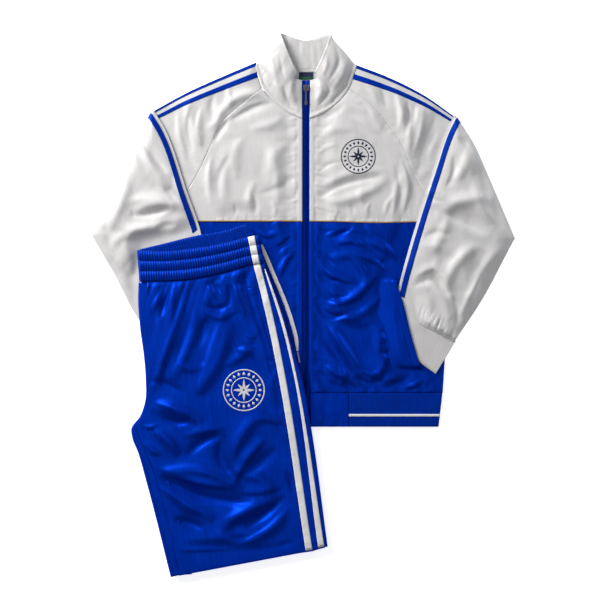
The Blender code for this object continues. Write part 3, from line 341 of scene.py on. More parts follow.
LEG_CREASES = [
    (-230, 40, -258, -47, -312, -190, 8, 3.4, 0.3),
    (-210, 44, -232, -54, -262, -130, 9, -4.0, 0.2),
    (-279, 34, -292, 10, -307, -18, 6, 2.4, 0.2),
    (-262, 40, -276, 6, -290, -30, 5, -2.2, 0.0),
    (-159, -10, -174, -60, -215, -186, 10, 3.6, 0.2),
    (-190, -20, -200, -50, -214, -90, 9, -3.0, 0.0),
    (-196, 50, -186, 30, -176, 6, 5, 2.6, 0.0),
    (-180, 54, -172, 34, -166, 20, 4, -2.2, 0.0),
    (-204, 4, -176, -10, -146, 2, 6, -2.8, 0.3),
    (-196, -8, -170, -24, -140, -14, 7, 2.6, 0.0),
    (-150, 56, -146, 24, -150, -6, 6, -2.6, 0.0),
    (-134, 60, -130, 20, -118, -30, 7, 2.4, 0.0),
    (-118, -56, -106, -64, -94, -60, 4, 1.8, 0.0),
    (-122, -74, -108, -80, -94, -78, 4, -1.8, 0.0),
    (-138, -88, -114, -92, -100, -108, 6, 2.0, 0.0),
    (-252, -118, -226, -126, -196, -120, 9, 1.8, 0.0),
    (-312, -150, -280, -158, -236, -178, 8, -2.4, 0.2),
    (-300, -194, -262, -204, -226, -224, 8, 3.4, 0.3),
    (-286, -226, -254, -236, -222, -232, 7, -3.2, 0.2),
    (-322, -240, -306, -244, -292, -236, 4, 1.8, 0.0),
    (-242, -262, -200, -250, -156, -244, 9, 2.6, 0.0),
    (-236, -306, -204, -276, -164, -258, 9, -3.4, 0.2),
    (-318, -272, -302, -292, -286, -300, 6, 2.4, 0.2),
    (-290, -326, -220, -352, -140, -366, 10, 4.2, 0.4),
    (-143, -364, -122, -318, -76, -264, 9, 3.8, 0.3),
    (-296, -344, -210, -384, -100, -398, 11, -5.0, 0.3),
    (-150, -340, -166, -300, -160, -256, 10, -3.0, 0.0),
    (-128, -344, -90, -320, -56, -286, 11, -3.0, 0.2),
    (-289, -364, -250, -386, -208, -420, 12, 3.0, 0.2),
    (-262, -430, -232, -436, -200, -448, 8, -3.4, 0.2),
    (-127, -372, -90, -372, -44, -362, 10, 2.6, 0.2),
    (-121, -448, -84, -424, -36, -382, 9, -4.0, 0.2),
    (-150, -432, -120, -416, -92, -404, 9, 2.4, 0.0),
    (-31, -404, -66, -444, -120, -474, 9, 3.4, 0.3),
    (-150, -462, -130, -466, -104, -462, 7, -2.4, 0.0),
    (-252, -490, -200, -500, -130, -494, 12, 3.0, 0.0),
    (-100, -500, -60, -494, -20, -470, 9, -2.0, 0.0),
    (-60, -136, -66, -170, -56, -210, 8, 1.8, 0.0),
    (-96, -230, -70, -226, -40, -236, 8, 1.8, 0.0),
    (-36, -330, -26, -350, -20, -380, 6, -1.6, 0.0),
]
COLLAR_CREASES = [
    (-42, 440, -33, 410, -13, 392, 7, -3.0, 0.0),
    (-22, 450, -27, 428, -15, 406, 9, 3.2, 0.0),
    (30, 456, 51, 430, 26, 394, 7, -3.0, 0.0),
    (20, 450, 34, 430, 24, 406, 9, 3.2, 0.0),
    (-68, 500, -60, 470, -50, 432, 9, 2.4, 0.0),
    (-86, 478, -62, 450, -44, 436, 6, -2.0, 0.0),
    (62, 520, 70, 488, 50, 446, 7, -3.0, 0.0),
    (86, 500, 78, 466, 58, 432, 9, 2.4, 0.0),
    (-48, 500, -44, 470, -38, 450, 6, -1.8, 0.0),
    (46, 500, 44, 476, 36, 456, 6, 1.8, 0.0),
]


def ease(t):
    """A soft step from 0 to 1."""
    t = np.clip(t, 0, 1)
    return t * t * (3 - 2 * t)


def ramp(value, start, end):
    """From 0 at start to 1 at end, flat beyond both."""
    return ease((np.asarray(value, float) - start) / (end - start))


def unit(vectors):
    """Vectors made one long."""
    return vectors / np.linalg.norm(vectors, axis=-1, keepdims=True)


def travelled(line):
    """How far along a line of points each of them lies."""
    return np.concatenate([[0], np.cumsum(np.linalg.norm(np.diff(line, axis=0), axis=1))])


def along(points, t):
    """Points of a smooth curve through the given ones, at the fractions t of its length."""
    p = np.array(points, float)
    at = travelled(p)
    at /= at[-1]
    slope = np.gradient(p, at, axis=0)
    t = np.asarray(t, float)
    i = np.clip(np.searchsorted(at, t, side="right") - 1, 0, len(p) - 2)
    h = at[i + 1] - at[i]
    s = ((t - at[i]) / h)[..., None]
    h = h[..., None]
    near = (2 * s**3 - 3 * s**2 + 1) * p[i] + (s**3 - 2 * s**2 + s) * h * slope[i]
    far = (3 * s**2 - 2 * s**3) * p[i + 1] + (s**3 - s**2) * h * slope[i + 1]
    return near + far


def length(points):
    """Length of the smooth curve through the given points."""
    line = along(points, np.linspace(0, 1, 60))
    return float(np.linalg.norm(np.diff(line, axis=0), axis=1).sum())


def distance(edge, x, y):
    """Distance from each x, y to a closed outline, below zero inside it."""
    far = np.full(np.shape(x), np.inf)
    inside = np.zeros(np.shape(x), bool)
    for (ax, ay), (bx, by) in zip(edge, np.roll(edge, -1, axis=0)):
        dx, dy = bx - ax, by - ay
        t = np.clip(((x - ax) * dx + (y - ay) * dy) / (dx * dx + dy * dy), 0, 1)
        far = np.minimum(far, (x - ax - t * dx) ** 2 + (y - ay - t * dy) ** 2)
        if ay != by:
            inside ^= ((ay > y) != (by > y)) & (x < dx * (y - ay) / dy + ax)
    return np.where(inside, -1, 1) * np.sqrt(far)


def outline(*curves):
    """A closed outline from curves joined end to end, each given as (points, forwards)."""
    parts = []
    for points, forwards in curves:
        run = along(points, np.linspace(0, 1, 14))
        parts.append(run[:-1] if forwards else run[:0:-1])
    return np.concatenate(parts)


def folded_sleeve(side):
    """Outline of a sleeve's folded part with its cuff."""
    inner_top, outer_top, outer_low, inner_low = CUFF[side]
    down = outline((FOLD[side], True), (ARM_UNDER[side], True))
    cuff_corners = [outer_top, outer_low, inner_low, inner_top]
    return np.concatenate([down, cuff_corners, outline((ARM_INNER[side], False))])


ARM = {side: folded_sleeve(side) for side in ("left", "right")}
BODY_EDGE = outline(
    (SIDE["left"], False), (ROOT_UNDER["left"], True), (FOLD["left"], False), (SHOULDER["left"], False),
    (NECK["left"], True), (NECK["right"], False), (SHOULDER["right"], True), (FOLD["right"], True),
    (ROOT_UNDER["right"], False), (SIDE["right"], True),
)
JACKET = np.concatenate([BODY_EDGE, [(-262, HEM_EDGE), (270, HEM_EDGE)]])
TROUSERS = outline((BACK_BAND_TOP, False), (TROUSER_LEFT, True), (TROUSER_RIGHT, False))
LEG = outline((INSEAM, True), (TROUSER_RIGHT, False))


def relief(x, y, folds):
    """Height that the folds add at x, y."""
    total = np.zeros(np.shape(x))
    for x0, y0, x1, y1, bow, width, height in folds:
        dx, dy = x1 - x0, y1 - y0
        run = math.hypot(dx, dy)
        s = ((x - x0) * dx + (y - y0) * dy) / run**2
        side = ((y - y0) * dx - (x - x0) * dy) / run - bow * 4 * s * (1 - s)
        window = np.sin(math.pi * np.clip(s, 0, 1)) ** 0.7
        total = total + height * window * np.exp(-2 * (side / width) ** 2)
    return total


def rounded(inside, width):
    """From 0 at an edge to 1 at width inside it, steep at the edge as a soft roll is."""
    return 1 - (1 - np.clip(inside / width, 0, 1)) ** 2


def front_under(x, y):
    """Underside of the jacket's front and of the sleeves' near halves."""
    free = rounded(-distance(BODY_EDGE, x, y), 30) * ramp(y, HEM_SEAM, HEM_SEAM + 40)
    for side in ("left", "right"):
        free = free * ramp(distance(ARM[side], x, y), 28, 54)
    free = free * ramp(distance(TROUSERS, x, y), 24, 54) * ramp(abs(x - ZIP_X), 26, 60)
    zip_edge = ZIP_LIFT * (1 - ramp(abs(x - ZIP_X), 22, 42))
    return FRONT_Z + zip_edge + free * (BODY_LOFT + relief(x, y, BODY_FOLDS))


def arm_rise(side, x, y):
    """How far the folded sleeve's upper layer stands over its flat height."""
    free = rounded(-distance(ARM[side], x, y), 38) * ramp(distance(TROUSERS, x, y), 8, 44)
    if side == "left":
        free = free * ramp(distance(TUCKED, x, y), 12, 44)
    return free * (ARM_LOFT + relief(x, y, ARM_FOLDS[side]))


def arm_drop(x, y):
    """How far the folded sleeve comes down past the edge of what it lies on."""
    return (ARM_LOW_Z - GAP) * ramp(distance(BODY_EDGE, x, y), 30, 80)


def tuck_rise(x, y):
    """How far the front lies over the cuff in its pocket."""
    return TUCK_LIFT * (1 - ramp(distance(TUCKED, x, y), 8, 46))


def support(x, y):
    """What the trousers' folded layers rest on."""
    body = OVER_BODY * (1 - ramp(distance(JACKET, x, y), 55, 100))
    return body + OVER_ARM * (1 - ramp(distance(ARM["right"], x, y), 55, 100))


def stack_top(x, y):
    """Top of the trousers' folded layers."""
    body = OVER_BODY * (1 - ramp(distance(JACKET, x, y), -50, 110))
    return STACK + body + OVER_ARM * (1 - ramp(distance(ARM["right"], x, y), -50, 110))


def leg_middle(x, y):
    """Middle of the upper leg's cloth, before it turns down at its edges."""
    free = rounded(-distance(LEG, x, y), 30)
    return stack_top(x, y) + LEG_LIFT + WALL / 2 + free * relief(x, y, LEG_FOLDS)


def patch(start, end, first, last, s, t):
    """A grid between four edges: start and end run along t, first and last along s."""
    w = s[:, None, None]
    v = t[None, :, None]
    first = first + (1 - s[:, None]) * (start[0] - first[0]) + s[:, None] * (end[0] - first[-1])
    last = last + (1 - s[:, None]) * (start[-1] - last[0]) + s[:, None] * (end[-1] - last[-1])
    corners = (1 - v) * ((1 - w) * start[0] + w * end[0]) + v * ((1 - w) * start[-1] + w * end[-1])
    return (1 - w) * start + w * end + (1 - v) * first[:, None] + v * last[:, None] - corners


def between(guides, steps, t):
    """A grid of rows t by columns: guide lines, with steps columns between each and the next."""
    lines = [along(g, t) for g in guides]
    columns = [lines[0]]
    for near, far, count in zip(lines, lines[1:], steps):
        columns += [near + (far - near) * k / count for k in range(1, count + 1)]
    return np.stack(columns, axis=1)


def lifted(plan, z):
    """Plan points with their heights."""
    return np.concatenate([plan, np.broadcast_to(z, plan.shape[:-1])[..., None]], axis=-1)


def normals(grid):
    """Upward unit normals of a grid of points."""
    n = np.cross(np.gradient(grid, axis=1), np.gradient(grid, axis=0))
    n /= np.maximum(np.linalg.norm(n, axis=-1, keepdims=True), 1e-9)
    return n if n[..., 2].mean() > 0 else -n


def grid_faces(rows, columns, loop=False):
    """Faces of a grid of points, its last column joined to its first where it is a loop."""
    last = columns if loop else columns - 1
    return [
        (r * columns + c, r * columns + n, (r + 1) * columns + n, (r + 1) * columns + c)
        for r in range(rows - 1)
        for c, n in ((c, (c + 1) % columns) for c in range(last))
    ]


def piping_y(x):
    """Y of the seam between the upper and the lower front."""
    return 168.0 - 3.0 * np.exp(-(((x - 150.0) / 70.0) ** 2))


def creases(x, y, table, broad=1.0, deep=1.0):
    """Height that the finer creases add at x, y, made broader and deeper by two shares."""
    total = np.zeros(np.shape(x))
    for x0, y0, x1, y1, x2, y2, width, height, lean in table:
        width, height = width * broad, height * deep
        line = along([(x0, y0), (x1, y1), (x2, y2)], np.linspace(0, 1, 9))
        low, high = line.min(axis=0) - 3 * width, line.max(axis=0) + 3 * width
        near = (x > low[0]) & (x < high[0]) & (y > low[1]) & (y < high[1])
        if near.any():
            s, d = beside(line, x[near], y[near])
            full = np.sin(math.pi * s)
            reach = np.where(d > 0, width * (1 - lean), width * (1 + lean)) * (0.55 + 0.45 * full)
            total[near] += height * full * np.exp(-2 * (d / reach) ** 2)
    return total


def beside(line, x, y):
    """For each x, y: the share of the way along a line, and the distance to it, below zero on its left."""
    a, b = line[:-1], line[1:]
    ab = b - a
    run = np.linalg.norm(ab, axis=1)
    start = np.concatenate([[0], np.cumsum(run)])
    p = np.stack([x, y], -1)[..., None, :]
    t = np.clip(((p - a) * ab).sum(-1) / run**2, 0, 1)
    off = p - a - t[..., None] * ab
    far = np.linalg.norm(off, axis=-1)
    k = far.argmin(-1)[..., None]
    s = np.take_along_axis(start[:-1] + t * run, k, -1)[..., 0] / start[-1]
    turn = np.take_along_axis(ab[:, 0] * off[..., 1] - ab[:, 1] * off[..., 0], k, -1)[..., 0]
    return s, np.take_along_axis(far, k, -1)[..., 0] * np.where(turn < 0, 1, -1)


# Random values along u and v before the pattern comes again.
NOISE = (97, 89)


def uneven(u, v, seed):
    """Smooth random heights from -1 to 1, one new value for each unit of u and v."""
    table = np.random.default_rng(seed).uniform(-1, 1, NOISE)
    u, v = np.asarray(u, float) + 400, np.asarray(v, float) + 400
    i, j = np.floor(u).astype(int), np.floor(v).astype(int)
    a, b = ease(u - i), ease(v - j)
    i0, i1 = i % NOISE[0], (i + 1) % NOISE[0]
    j0, j1 = j % NOISE[1], (j + 1) % NOISE[1]
    near = table[i0, j0] * (1 - a) + table[i1, j0] * a
    far = table[i0, j1] * (1 - a) + table[i1, j1] * a
    return near * (1 - b) + far * b


def sewn(line, x, y, seed, groove=0.5, pucker=0.7, reach=12.0, pitch=7.0):
    """A sewn line's groove, and the short puckers that its thread pulls in across it."""
    points = along(line, np.linspace(0, 1, 40))
    size = length(line)
    s, d = beside(points, x, y)
    d = abs(d)
    pulled = uneven(s * size / pitch, d / 30, seed)
    pulled = pulled + 0.5 * uneven(s * size / (pitch * 0.45), d / 20, seed + 1)
    return pucker * pulled * np.exp(-d / reach) * ramp(d, 0, 2.5) - groove * np.exp(-((d / 1.3) ** 2))


# The front's topstitching beside the zip, and how far the folded facing reaches.
FACING = 17.0


def front_detail(x, y):
    """Creases, puckers and seam grooves of the jacket's front and of the sleeves' near halves."""
    free = rounded(-distance(BODY_EDGE, x, y), 14) * ramp(y, HEM_SEAM, HEM_SEAM + 12)
    for side in ("left", "right"):
        free = free * ramp(distance(ARM[side], x, y), 4, 26)
    free = free * ramp(distance(TROUSERS, x, y), 4, 22) * ramp(abs(x - ZIP_X), 19, 30)
    deep = np.where(y < piping_y(x), 1.9, 1.35)
    z = free * deep * creases(x, y, FRONT_CREASES, 1.35)
    z = z + free * 0.5 * uneven(x / 26, y / 30, 3) + free * 0.25 * uneven((x + y) / 13, (x - y) / 17, 4)
    off = abs(x - ZIP_X)
    by_zip = np.exp(-np.clip(off - FACING, 0, None) / 19) * ramp(off, FACING - 1, FACING + 3)
    side_seed = np.where(x > ZIP_X, 0.0, 40.0)
    slant = y + 0.25 * off
    pulled = uneven(slant / 12 + side_seed, off / 40, 5) + 0.5 * uneven(slant / 5.5 + side_seed, off / 30, 6)
    covered = ramp(distance(TROUSERS, x, y), 0, 8)
    z = z + 2.2 * by_zip * pulled * covered * ramp(y, HEM_SEAM, HEM_SEAM + 6)
    facing = ramp(off, FACING + 0.8, FACING - 1.2)
    z = z + 0.5 * facing - 0.45 * np.exp(-(((off - FACING) / 1.0) ** 2))
    drop = y - piping_y(x)
    above = np.where(drop > 0, drop, 400.0)
    tucked = uneven(x / 8.5, above / 40, 8) + 0.6 * uneven(x / 4.2, above / 30, 9)
    z = z + 1.6 * np.exp(-above / 10) * tucked * free
    z = z - 0.5 * np.exp(-((drop / 1.8) ** 2)) - 0.35 * np.exp(-(((drop - 7) / 1.0) ** 2))
    below = np.where(drop < 0, -drop, 400.0)
    z = z + 2.0 * np.exp(-below / 14) * uneven(x / 13, below / 40, 10) * free
    over_hem = np.clip(y - HEM_SEAM, 0, None)
    gathered = uneven((x + 0.5 * over_hem) / 12, over_hem / 40, 11)
    z = z + 2.8 * np.exp(-over_hem / 19) * gathered * ramp(over_hem, 0, 3) * covered
    return z


def raglan_detail(x, y):
    """Grooves and puckers along both raglan seams."""
    z = np.zeros(np.shape(x))
    for side in ("left", "right"):
        covered = ramp(distance(ARM[side], x, y), 0, 8)
        z = z + covered * sewn(RAGLAN[side], x, y, 12 if side == "left" else 14, pucker=0.6)
    return z


def kept_above(z, low, softness=0.25):
    """Heights that flatten out softly before they fall below low."""
    return low + softness * np.logaddexp(0, (z - low) / softness)


def front_middle(x, y):
    """Middle of the front's cloth as it shows. Its troughs stay clear of the back panels."""
    z = front_under(x, y) + WALL / 2 + front_detail(x, y) + raglan_detail(x, y)
    return kept_above(z, WALL + JERSEY / 2 + GAP)


def arm_detail(side, x, y):
    """Creases of a folded sleeve's upper layer."""
    free = rounded(-distance(ARM[side], x, y), 16) * ramp(distance(TROUSERS, x, y), 2, 22)
    if side == "left":
        free = free * ramp(distance(TUCKED, x, y), 4, 20)
    z = creases(x, y, ARM_CREASES[side], 1.5, 1.5)
    z = z + 0.7 * uneven(x / 24, y / 30, 21) + 0.3 * uneven(x / 11, y / 14, 22)
    return free * z


def leg_detail(x, y):
    """Creases of the trousers' upper leg, and the puckers of its pocket and stripes."""
    free = rounded(-distance(LEG, x, y), 12)
    z = creases(x, y, LEG_CREASES, 1.5, 1.6) + 0.4 * uneven(x / 28, y / 34, 31)
    welt = sewn(LEG_POCKET[:6], x, y, 33, groove=1.8, pucker=0.9, reach=10)
    stitched = np.zeros(np.shape(x))
    for line, seed in ((STRIPE_ONE, 35), (STRIPE_TWO, 37)):
        stitched = stitched + sewn(line, x, y, seed, groove=0.3, pucker=0.7, reach=9)
    return free * z + welt + stitched


def mesh_object(name, points, faces, material, uvs=None):
    """A smooth mesh from points in millimetres, with the cloth's grain as its UVs."""
    mesh = bpy.data.meshes.new(name)
    points = np.asarray(points, float).reshape(-1, 3) * MM
    mesh.from_pydata(points.tolist(), [], [tuple(map(int, f)) for f in faces])
    if uvs is not None:
        layer = mesh.uv_layers.new(name="grain")
        corners = np.zeros(len(mesh.loops), dtype=np.int64)
        mesh.loops.foreach_get("vertex_index", corners)
        layer.data.foreach_set("uv", np.asarray(uvs, float)[corners].ravel())
    mesh.materials.append(material)
    mesh.shade_smooth()
    obj = bpy.data.objects.new(name, mesh)
    bpy.context.scene.collection.objects.link(obj)
    return obj


def grain_uv(grid):
    """Where each point of a grid lies on its own cloth, in metres across and along the grain."""
    across = np.linalg.norm(np.diff(grid, axis=1), axis=-1).mean(axis=0)
    down = np.linalg.norm(np.diff(grid, axis=0), axis=-1).mean(axis=1)
    u = np.concatenate([[0], np.cumsum(across)]) * MM
    v = np.concatenate([[0], np.cumsum(down)]) * MM
    return np.stack(np.broadcast_arrays(u[None, :], v[:, None]), axis=-1).reshape(-1, 2)


def placed(obj, node):
    """A piece on the garment's one rigid body, standing for its CAD node."""
    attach(obj, BODY)
    if node:
        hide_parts(node)
    return obj


def thicken(obj, thickness):
    """Gives a sheet its thickness, half on each side."""
    shell = obj.modifiers.new("cloth thickness", "SOLIDIFY")
    shell.thickness = thickness * MM
    shell.offset = 0
    return obj


def cloth(
    name, grid, material, node=None, thickness=JERSEY,
    faces=None, extra=None, loop=False,
):
    """One panel of cloth as a thin shell on a grid of its middle points."""
    points = grid.reshape(-1, 3)
    uvs = grain_uv(grid)
    if extra is not None:
        points = np.concatenate([points, extra[0]])
        uvs = np.concatenate([uvs, uvs[extra[1]]])
    if faces is None:
        faces = grid_faces(*grid.shape[:2], loop)
    obj = thicken(mesh_object(name, points, faces, material, uvs), thickness)
    placed(obj, node or name[: -len("_cloth")])
    return obj


def strip(name, grid, up, material, node, lift=JERSEY / 2 + TAPE / 2, thickness=TAPE):
    """A tape sewn on a panel, made from the panel's own points, moved out."""
    faces = grid_faces(*grid.shape[:2])
    obj = mesh_object(name, grid + np.asarray(up) * lift, faces, material, grain_uv(grid))
    return placed(thicken(obj, thickness), node)


STITCH = 2.4
STITCH_GAP = 1.3
THREAD = 0.55
# One stitch as shares of its length, width and width: a low ridge, pointed where it enters the cloth.
STITCH_POINTS = [
    (-0.5, 0, -0.1), (-0.3, -0.5, 0.2), (-0.3, 0.5, 0.2), (0.3, -0.5, 0.2), (0.3, 0.5, 0.2), (0.5, 0, -0.1),
    (-0.25, 0, 0.65), (0.25, 0, 0.65),
]
STITCH_SIDES = [
    (0, 1, 6), (0, 6, 2), (1, 3, 7, 6), (6, 7, 4, 2), (3, 5, 7), (7, 5, 4),
    (0, 2, 1), (1, 2, 4, 3), (3, 4, 5),
]


def stitches(name, lines, material, pitch=STITCH + STITCH_GAP):
    """Rows of small stitches along lines of points on the cloth, as one mesh."""
    points, faces = [], []
    for line in lines:
        line = np.asarray(line, float)
        at = travelled(line)
        for s in np.arange(pitch / 2, at[-1] - pitch / 2, pitch):
            centre = np.array([np.interp(s, at, line[:, k]) for k in range(3)])
            ahead = unit(np.array([np.interp(s + 0.8, at, line[:, k]) for k in range(3)]) - centre)
            across = unit(np.cross(ahead, (0, 0, 1)))
            n = len(points)
            for a, b, c in STITCH_POINTS:
                points.append(centre + ahead * a * STITCH + across * b * THREAD + UP * c * THREAD)
            faces += [tuple(i + n for i in face) for face in STITCH_SIDES]
    return placed(mesh_object(name, points, faces, material), None)


def on_front(plan, lift=JERSEY / 2):
    """A line or grid of plan points laid on the front."""
    plan = np.asarray(plan, float)
    return lifted(plan, front_middle(plan[..., 0], plan[..., 1]) + lift)


def linear(colour):
    """An sRGB hex colour as linear values."""
    channels = [int(colour[i : i + 2], 16) / 255 for i in (1, 3, 5)]
    return tuple(c / 12.92 if c <= 0.04045 else ((c + 0.055) / 1.055) ** 2.4 for c in channels) + (1.0,)


def node(tree, kind, inputs=None, **settings):
    """Adds one node, with its settings, and its inputs as values or as links."""
    made = tree.nodes.new(kind)
    for key, value in settings.items():
        setattr(made, key, value)
    for socket, value in (inputs or {}).items():
        if isinstance(value, bpy.types.NodeSocket):
            tree.links.new(value, made.inputs[socket])
        else:
            made.inputs[socket].default_value = value
    return made


def new_material(name, **sockets):
    """A material whose Principled shader has the given uniform values."""
    material = bpy.data.materials.new(name)
    material.use_nodes = True
    shader = material.node_tree.nodes["Principled BSDF"]
    for socket, value in sockets.items():
        shader.inputs[socket.replace("_", " ")].default_value = value
    return material, material.node_tree, shader


# The colour sockets of a Mix node: its names are shared with those for numbers.
MIX_A, MIX_B, MIX_RESULT = 6, 7, 2

# Streaks of slack and tight yarn in a knit, and the clouds in which they show, in metres.
STREAK_WIDTH = 0.004
STREAK_LENGTH = 0.045
CLOUD_SIZE = 0.06


def knitted(name, colour, shade, roughness, wale_mm, bump_mm, streak=0.5, **sockets):
    """Polyester knit. Wales run along the grain, and streaks of slack and tight yarn run with them."""
    material, tree, shader = new_material(name, Roughness=roughness, **sockets)
    grain = node(tree, "ShaderNodeUVMap", uv_map="grain")
    scaled = node(tree, "ShaderNodeMapping", {
        "Vector": grain.outputs["UV"], "Scale": (1 / STREAK_WIDTH, 1 / STREAK_LENGTH, 1),
    })
    streaks = node(tree, "ShaderNodeTexNoise", {
        "Vector": scaled.outputs["Vector"], "Scale": 1.0, "Detail": 3.0,
    })
    cloudy = node(tree, "ShaderNodeTexNoise", {
        "Vector": grain.outputs["UV"], "Scale": 1 / CLOUD_SIZE, "Detail": 2.0,
    })
    mixed = node(tree, "ShaderNodeMath", {
        0: streaks.outputs["Fac"], 1: cloudy.outputs["Fac"],
    }, operation="MULTIPLY")
    span = node(tree, "ShaderNodeMapRange", {
        "Value": mixed.outputs["Value"], "From Min": 0.15, "From Max": 0.36, "To Min": 0.0, "To Max": streak,
    })
    tone = node(tree, "ShaderNodeMix", {
        0: span.outputs["Result"], MIX_A: linear(colour), MIX_B: linear(shade),
    }, data_type="RGBA")
    tree.links.new(tone.outputs[MIX_RESULT], shader.inputs["Base Color"])
    stitch = node(tree, "ShaderNodeMapping", {
        "Vector": grain.outputs["UV"], "Scale": (1000 / wale_mm, 1000 / wale_mm * 0.7, 1),
    })
    wales = node(tree, "ShaderNodeTexWave", {
        "Vector": stitch.outputs["Vector"], "Scale": 0.5 / math.pi, "Distortion": 1.2, "Detail": 1.0,
    }, wave_type="BANDS", bands_direction="X")
    rough = node(tree, "ShaderNodeMath", {
        0: wales.outputs["Fac"], 1: streaks.outputs["Fac"],
    }, operation="ADD")
    relief_node = node(tree, "ShaderNodeBump", {
        "Height": rough.outputs["Value"], "Strength": 0.5, "Distance": bump_mm * MM,
    })
    tree.links.new(relief_node.outputs["Normal"], shader.inputs["Normal"])
    return material


def plain(name, colour, shade, roughness, spot_mm, bump_mm, **sockets):
    """A finish with small uneven spots of a second shade, and a bump of the same size."""
    material, tree, shader = new_material(name, Roughness=roughness, **sockets)
    place = node(tree, "ShaderNodeTexCoord")
    spots = node(tree, "ShaderNodeTexNoise", {
        "Vector": place.outputs["Object"], "Scale": 1000 / spot_mm, "Detail": 3.0,
    })
    tone = node(tree, "ShaderNodeMix", {
        0: spots.outputs["Fac"], MIX_A: linear(colour), MIX_B: linear(shade),
    }, data_type="RGBA")
    tree.links.new(tone.outputs[MIX_RESULT], shader.inputs["Base Color"])
    relief_node = node(tree, "ShaderNodeBump", {
        "Height": spots.outputs["Fac"], "Strength": 0.5, "Distance": bump_mm * MM,
    })
    tree.links.new(relief_node.outputs["Normal"], shader.inputs["Normal"])
    return material


# Warp-knit polyester tricot, calendered: smooth and satiny, with broad soft highlights along its folds.
# Its wales are 0.7 mm apart, and are drawn at 1.1 mm so that a close view shows them.
WHITE_TRICOT = knitted(
    "white polyester tricot", "#ebeaea", "#dad9dd", 0.46, 1.1, 0.05, Specular_IOR_Level=0.65,
)
BLUE_TRICOT = knitted(
    "blue polyester tricot", "#003ac6", "#002590", 0.45, 1.1, 0.05, Specular_IOR_Level=0.9, Metallic=0.6,
    Specular_Tint=linear("#1f5cff"),
)
# Rib knit with elastane: matt, its loops scatter light. Its ribs are in the meshes.
BLUE_RIB = knitted(
    "blue rib knit", "#0032b0", "#002690", 0.5, 1.3, 0.1, Specular_IOR_Level=0.8, Metallic=0.35,
    Specular_Tint=linear("#2f7bff"), Sheen_Weight=0.2, Sheen_Tint=linear("#3f86ff"),
)
# The same knit in white at the cuffs: duller than the jersey beside it.
WHITE_RIB = knitted("white rib knit", "#e6e4e5", "#d6d5d9", 0.75, 1.3, 0.12, Sheen_Weight=0.2)
# Woven polyester tape, sewn on flat: tighter than the jersey, with a fine dull grain.
BLUE_TAPE = knitted(
    "blue polyester tape", "#0030a8", "#002690", 0.5, 0.9, 0.05, Specular_IOR_Level=0.6,
    Specular_Tint=linear("#2f7bff"), Sheen_Weight=0.1, Sheen_Tint=linear("#3f86ff"),
)
WHITE_TAPE = knitted("white polyester tape", "#ffffff", "#f0f0f2", 0.5, 0.9, 0.05)
# Herringbone tape, woven in polyester and dyed with the cloth: flatter and duller than the jersey.
ZIP_TAPE = knitted("woven zip tape", "#0036c4", "#002ca4", 0.6, 0.8, 0.1, Specular_Tint=linear("#1f5cff"))
# Satin cut on the bias over a thin cord: a soft metallic line of light along it.
GOLD_PIPING = plain("gold satin piping", "#c9a24a", "#a87e2e", 0.4, 1.5, 0.05, Metallic=0.3)
# Nylon zip teeth, dyed with the tape: a dull plastic gloss.
ZIP_NYLON = plain("nylon zip teeth", "#002c98", "#002078", 0.4, 0.8, 0.02, Specular_Tint=linear("#2f66ff"))
# Zinc alloy, die cast and plated: a grey metal gloss, with darker spots where the plating is worn.
DARK_ZINC = plain("dark plated zinc", "#b4b5b8", "#77797e", 0.3, 2.0, 0.02, Metallic=1.0)
# Spun polyester thread: matt, a shade off the cloth, so that a row of stitches just shows.
WHITE_THREAD = plain("white sewing thread", "#f4f4f4", "#d8d8dc", 0.6, 0.5, 0.05)
BLUE_THREAD = plain("blue sewing thread", "#0a3fcc", "#0830a8", 0.55, 0.5, 0.05)
# Flat braided polyester cord: small crossing yarns with a dull sheen.
CORD_BRAID = knitted("flat braided cord", "#ffffff", "#e6e6e8", 0.7, 1.6, 0.2)
# Acetate film, rolled hot round the cord's end and crimped: greyer and glossier than the cord.
CLEAR_FILM = plain("crimped acetate film", "#dadada", "#bcbcc0", 0.3, 1.0, 0.03)
# Ink film, pressed on hot: smooth and even, and glossier than the knit under it.
NAVY_PRINT = plain("navy transfer print", "#16264e", "#101d40", 0.45, 1.0, 0.02)
WHITE_PRINT = plain("white transfer print", "#f0f0f2", "#dfe0e6", 0.45, 1.0, 0.02)
# Damask woven polyester: a fine matt grain.
LABEL_NAVY = plain("navy woven label", "#1c2b5a", "#142044", 0.7, 0.6, 0.08)
LABEL_GREEN = plain("green woven label", "#1f6a44", "#175036", 0.7, 0.6, 0.08)


def spread(first, last, step):
    """Even stations from first to last, no further apart than step."""
    return np.linspace(first, last, int(math.ceil(abs(last - first) / step)) + 1)


def stretches(*rows):
    """Stations through several stretches that follow on, each given as (first, last, step)."""
    first, *others = [spread(*row) for row in rows]
    return np.concatenate([first] + [row[1:] for row in others])


# Widest cell of the panels' grids.
CELL = 2.6


def yoke_top(side, x):
    """Y of the upper front's edge at x: the neck near the zip, and the raglan seam past it."""
    neck = along(NECK[side], np.linspace(1, 0, 80))
    neck = neck[: np.argmax(neck[:, 1] > 433.9) + 1]
    edge = np.concatenate([neck, along(RAGLAN[side], np.linspace(0, 1, 120))[1:]])
    order = np.argsort(edge[:, 0])
    return np.interp(x, edge[order, 0], edge[order, 1])


def upper_front(side):
    """The white upper front panel, from the zip to the raglan seam."""
    out = OUTWARD[side]
    x = spread(ZIP_X + out * ZIP_SIDE, RAGLAN[side][-1][0], CELL)
    t = np.linspace(0, 1, 105)[:, None]
    low = piping_y(x)
    plan = np.stack([np.broadcast_to(x, (len(t), len(x))), low + t * (yoke_top(side, x) - low)], axis=-1)
    cloth(f"front_upper_{side}_cloth", on_front(plan, 0), WHITE_TRICOT)


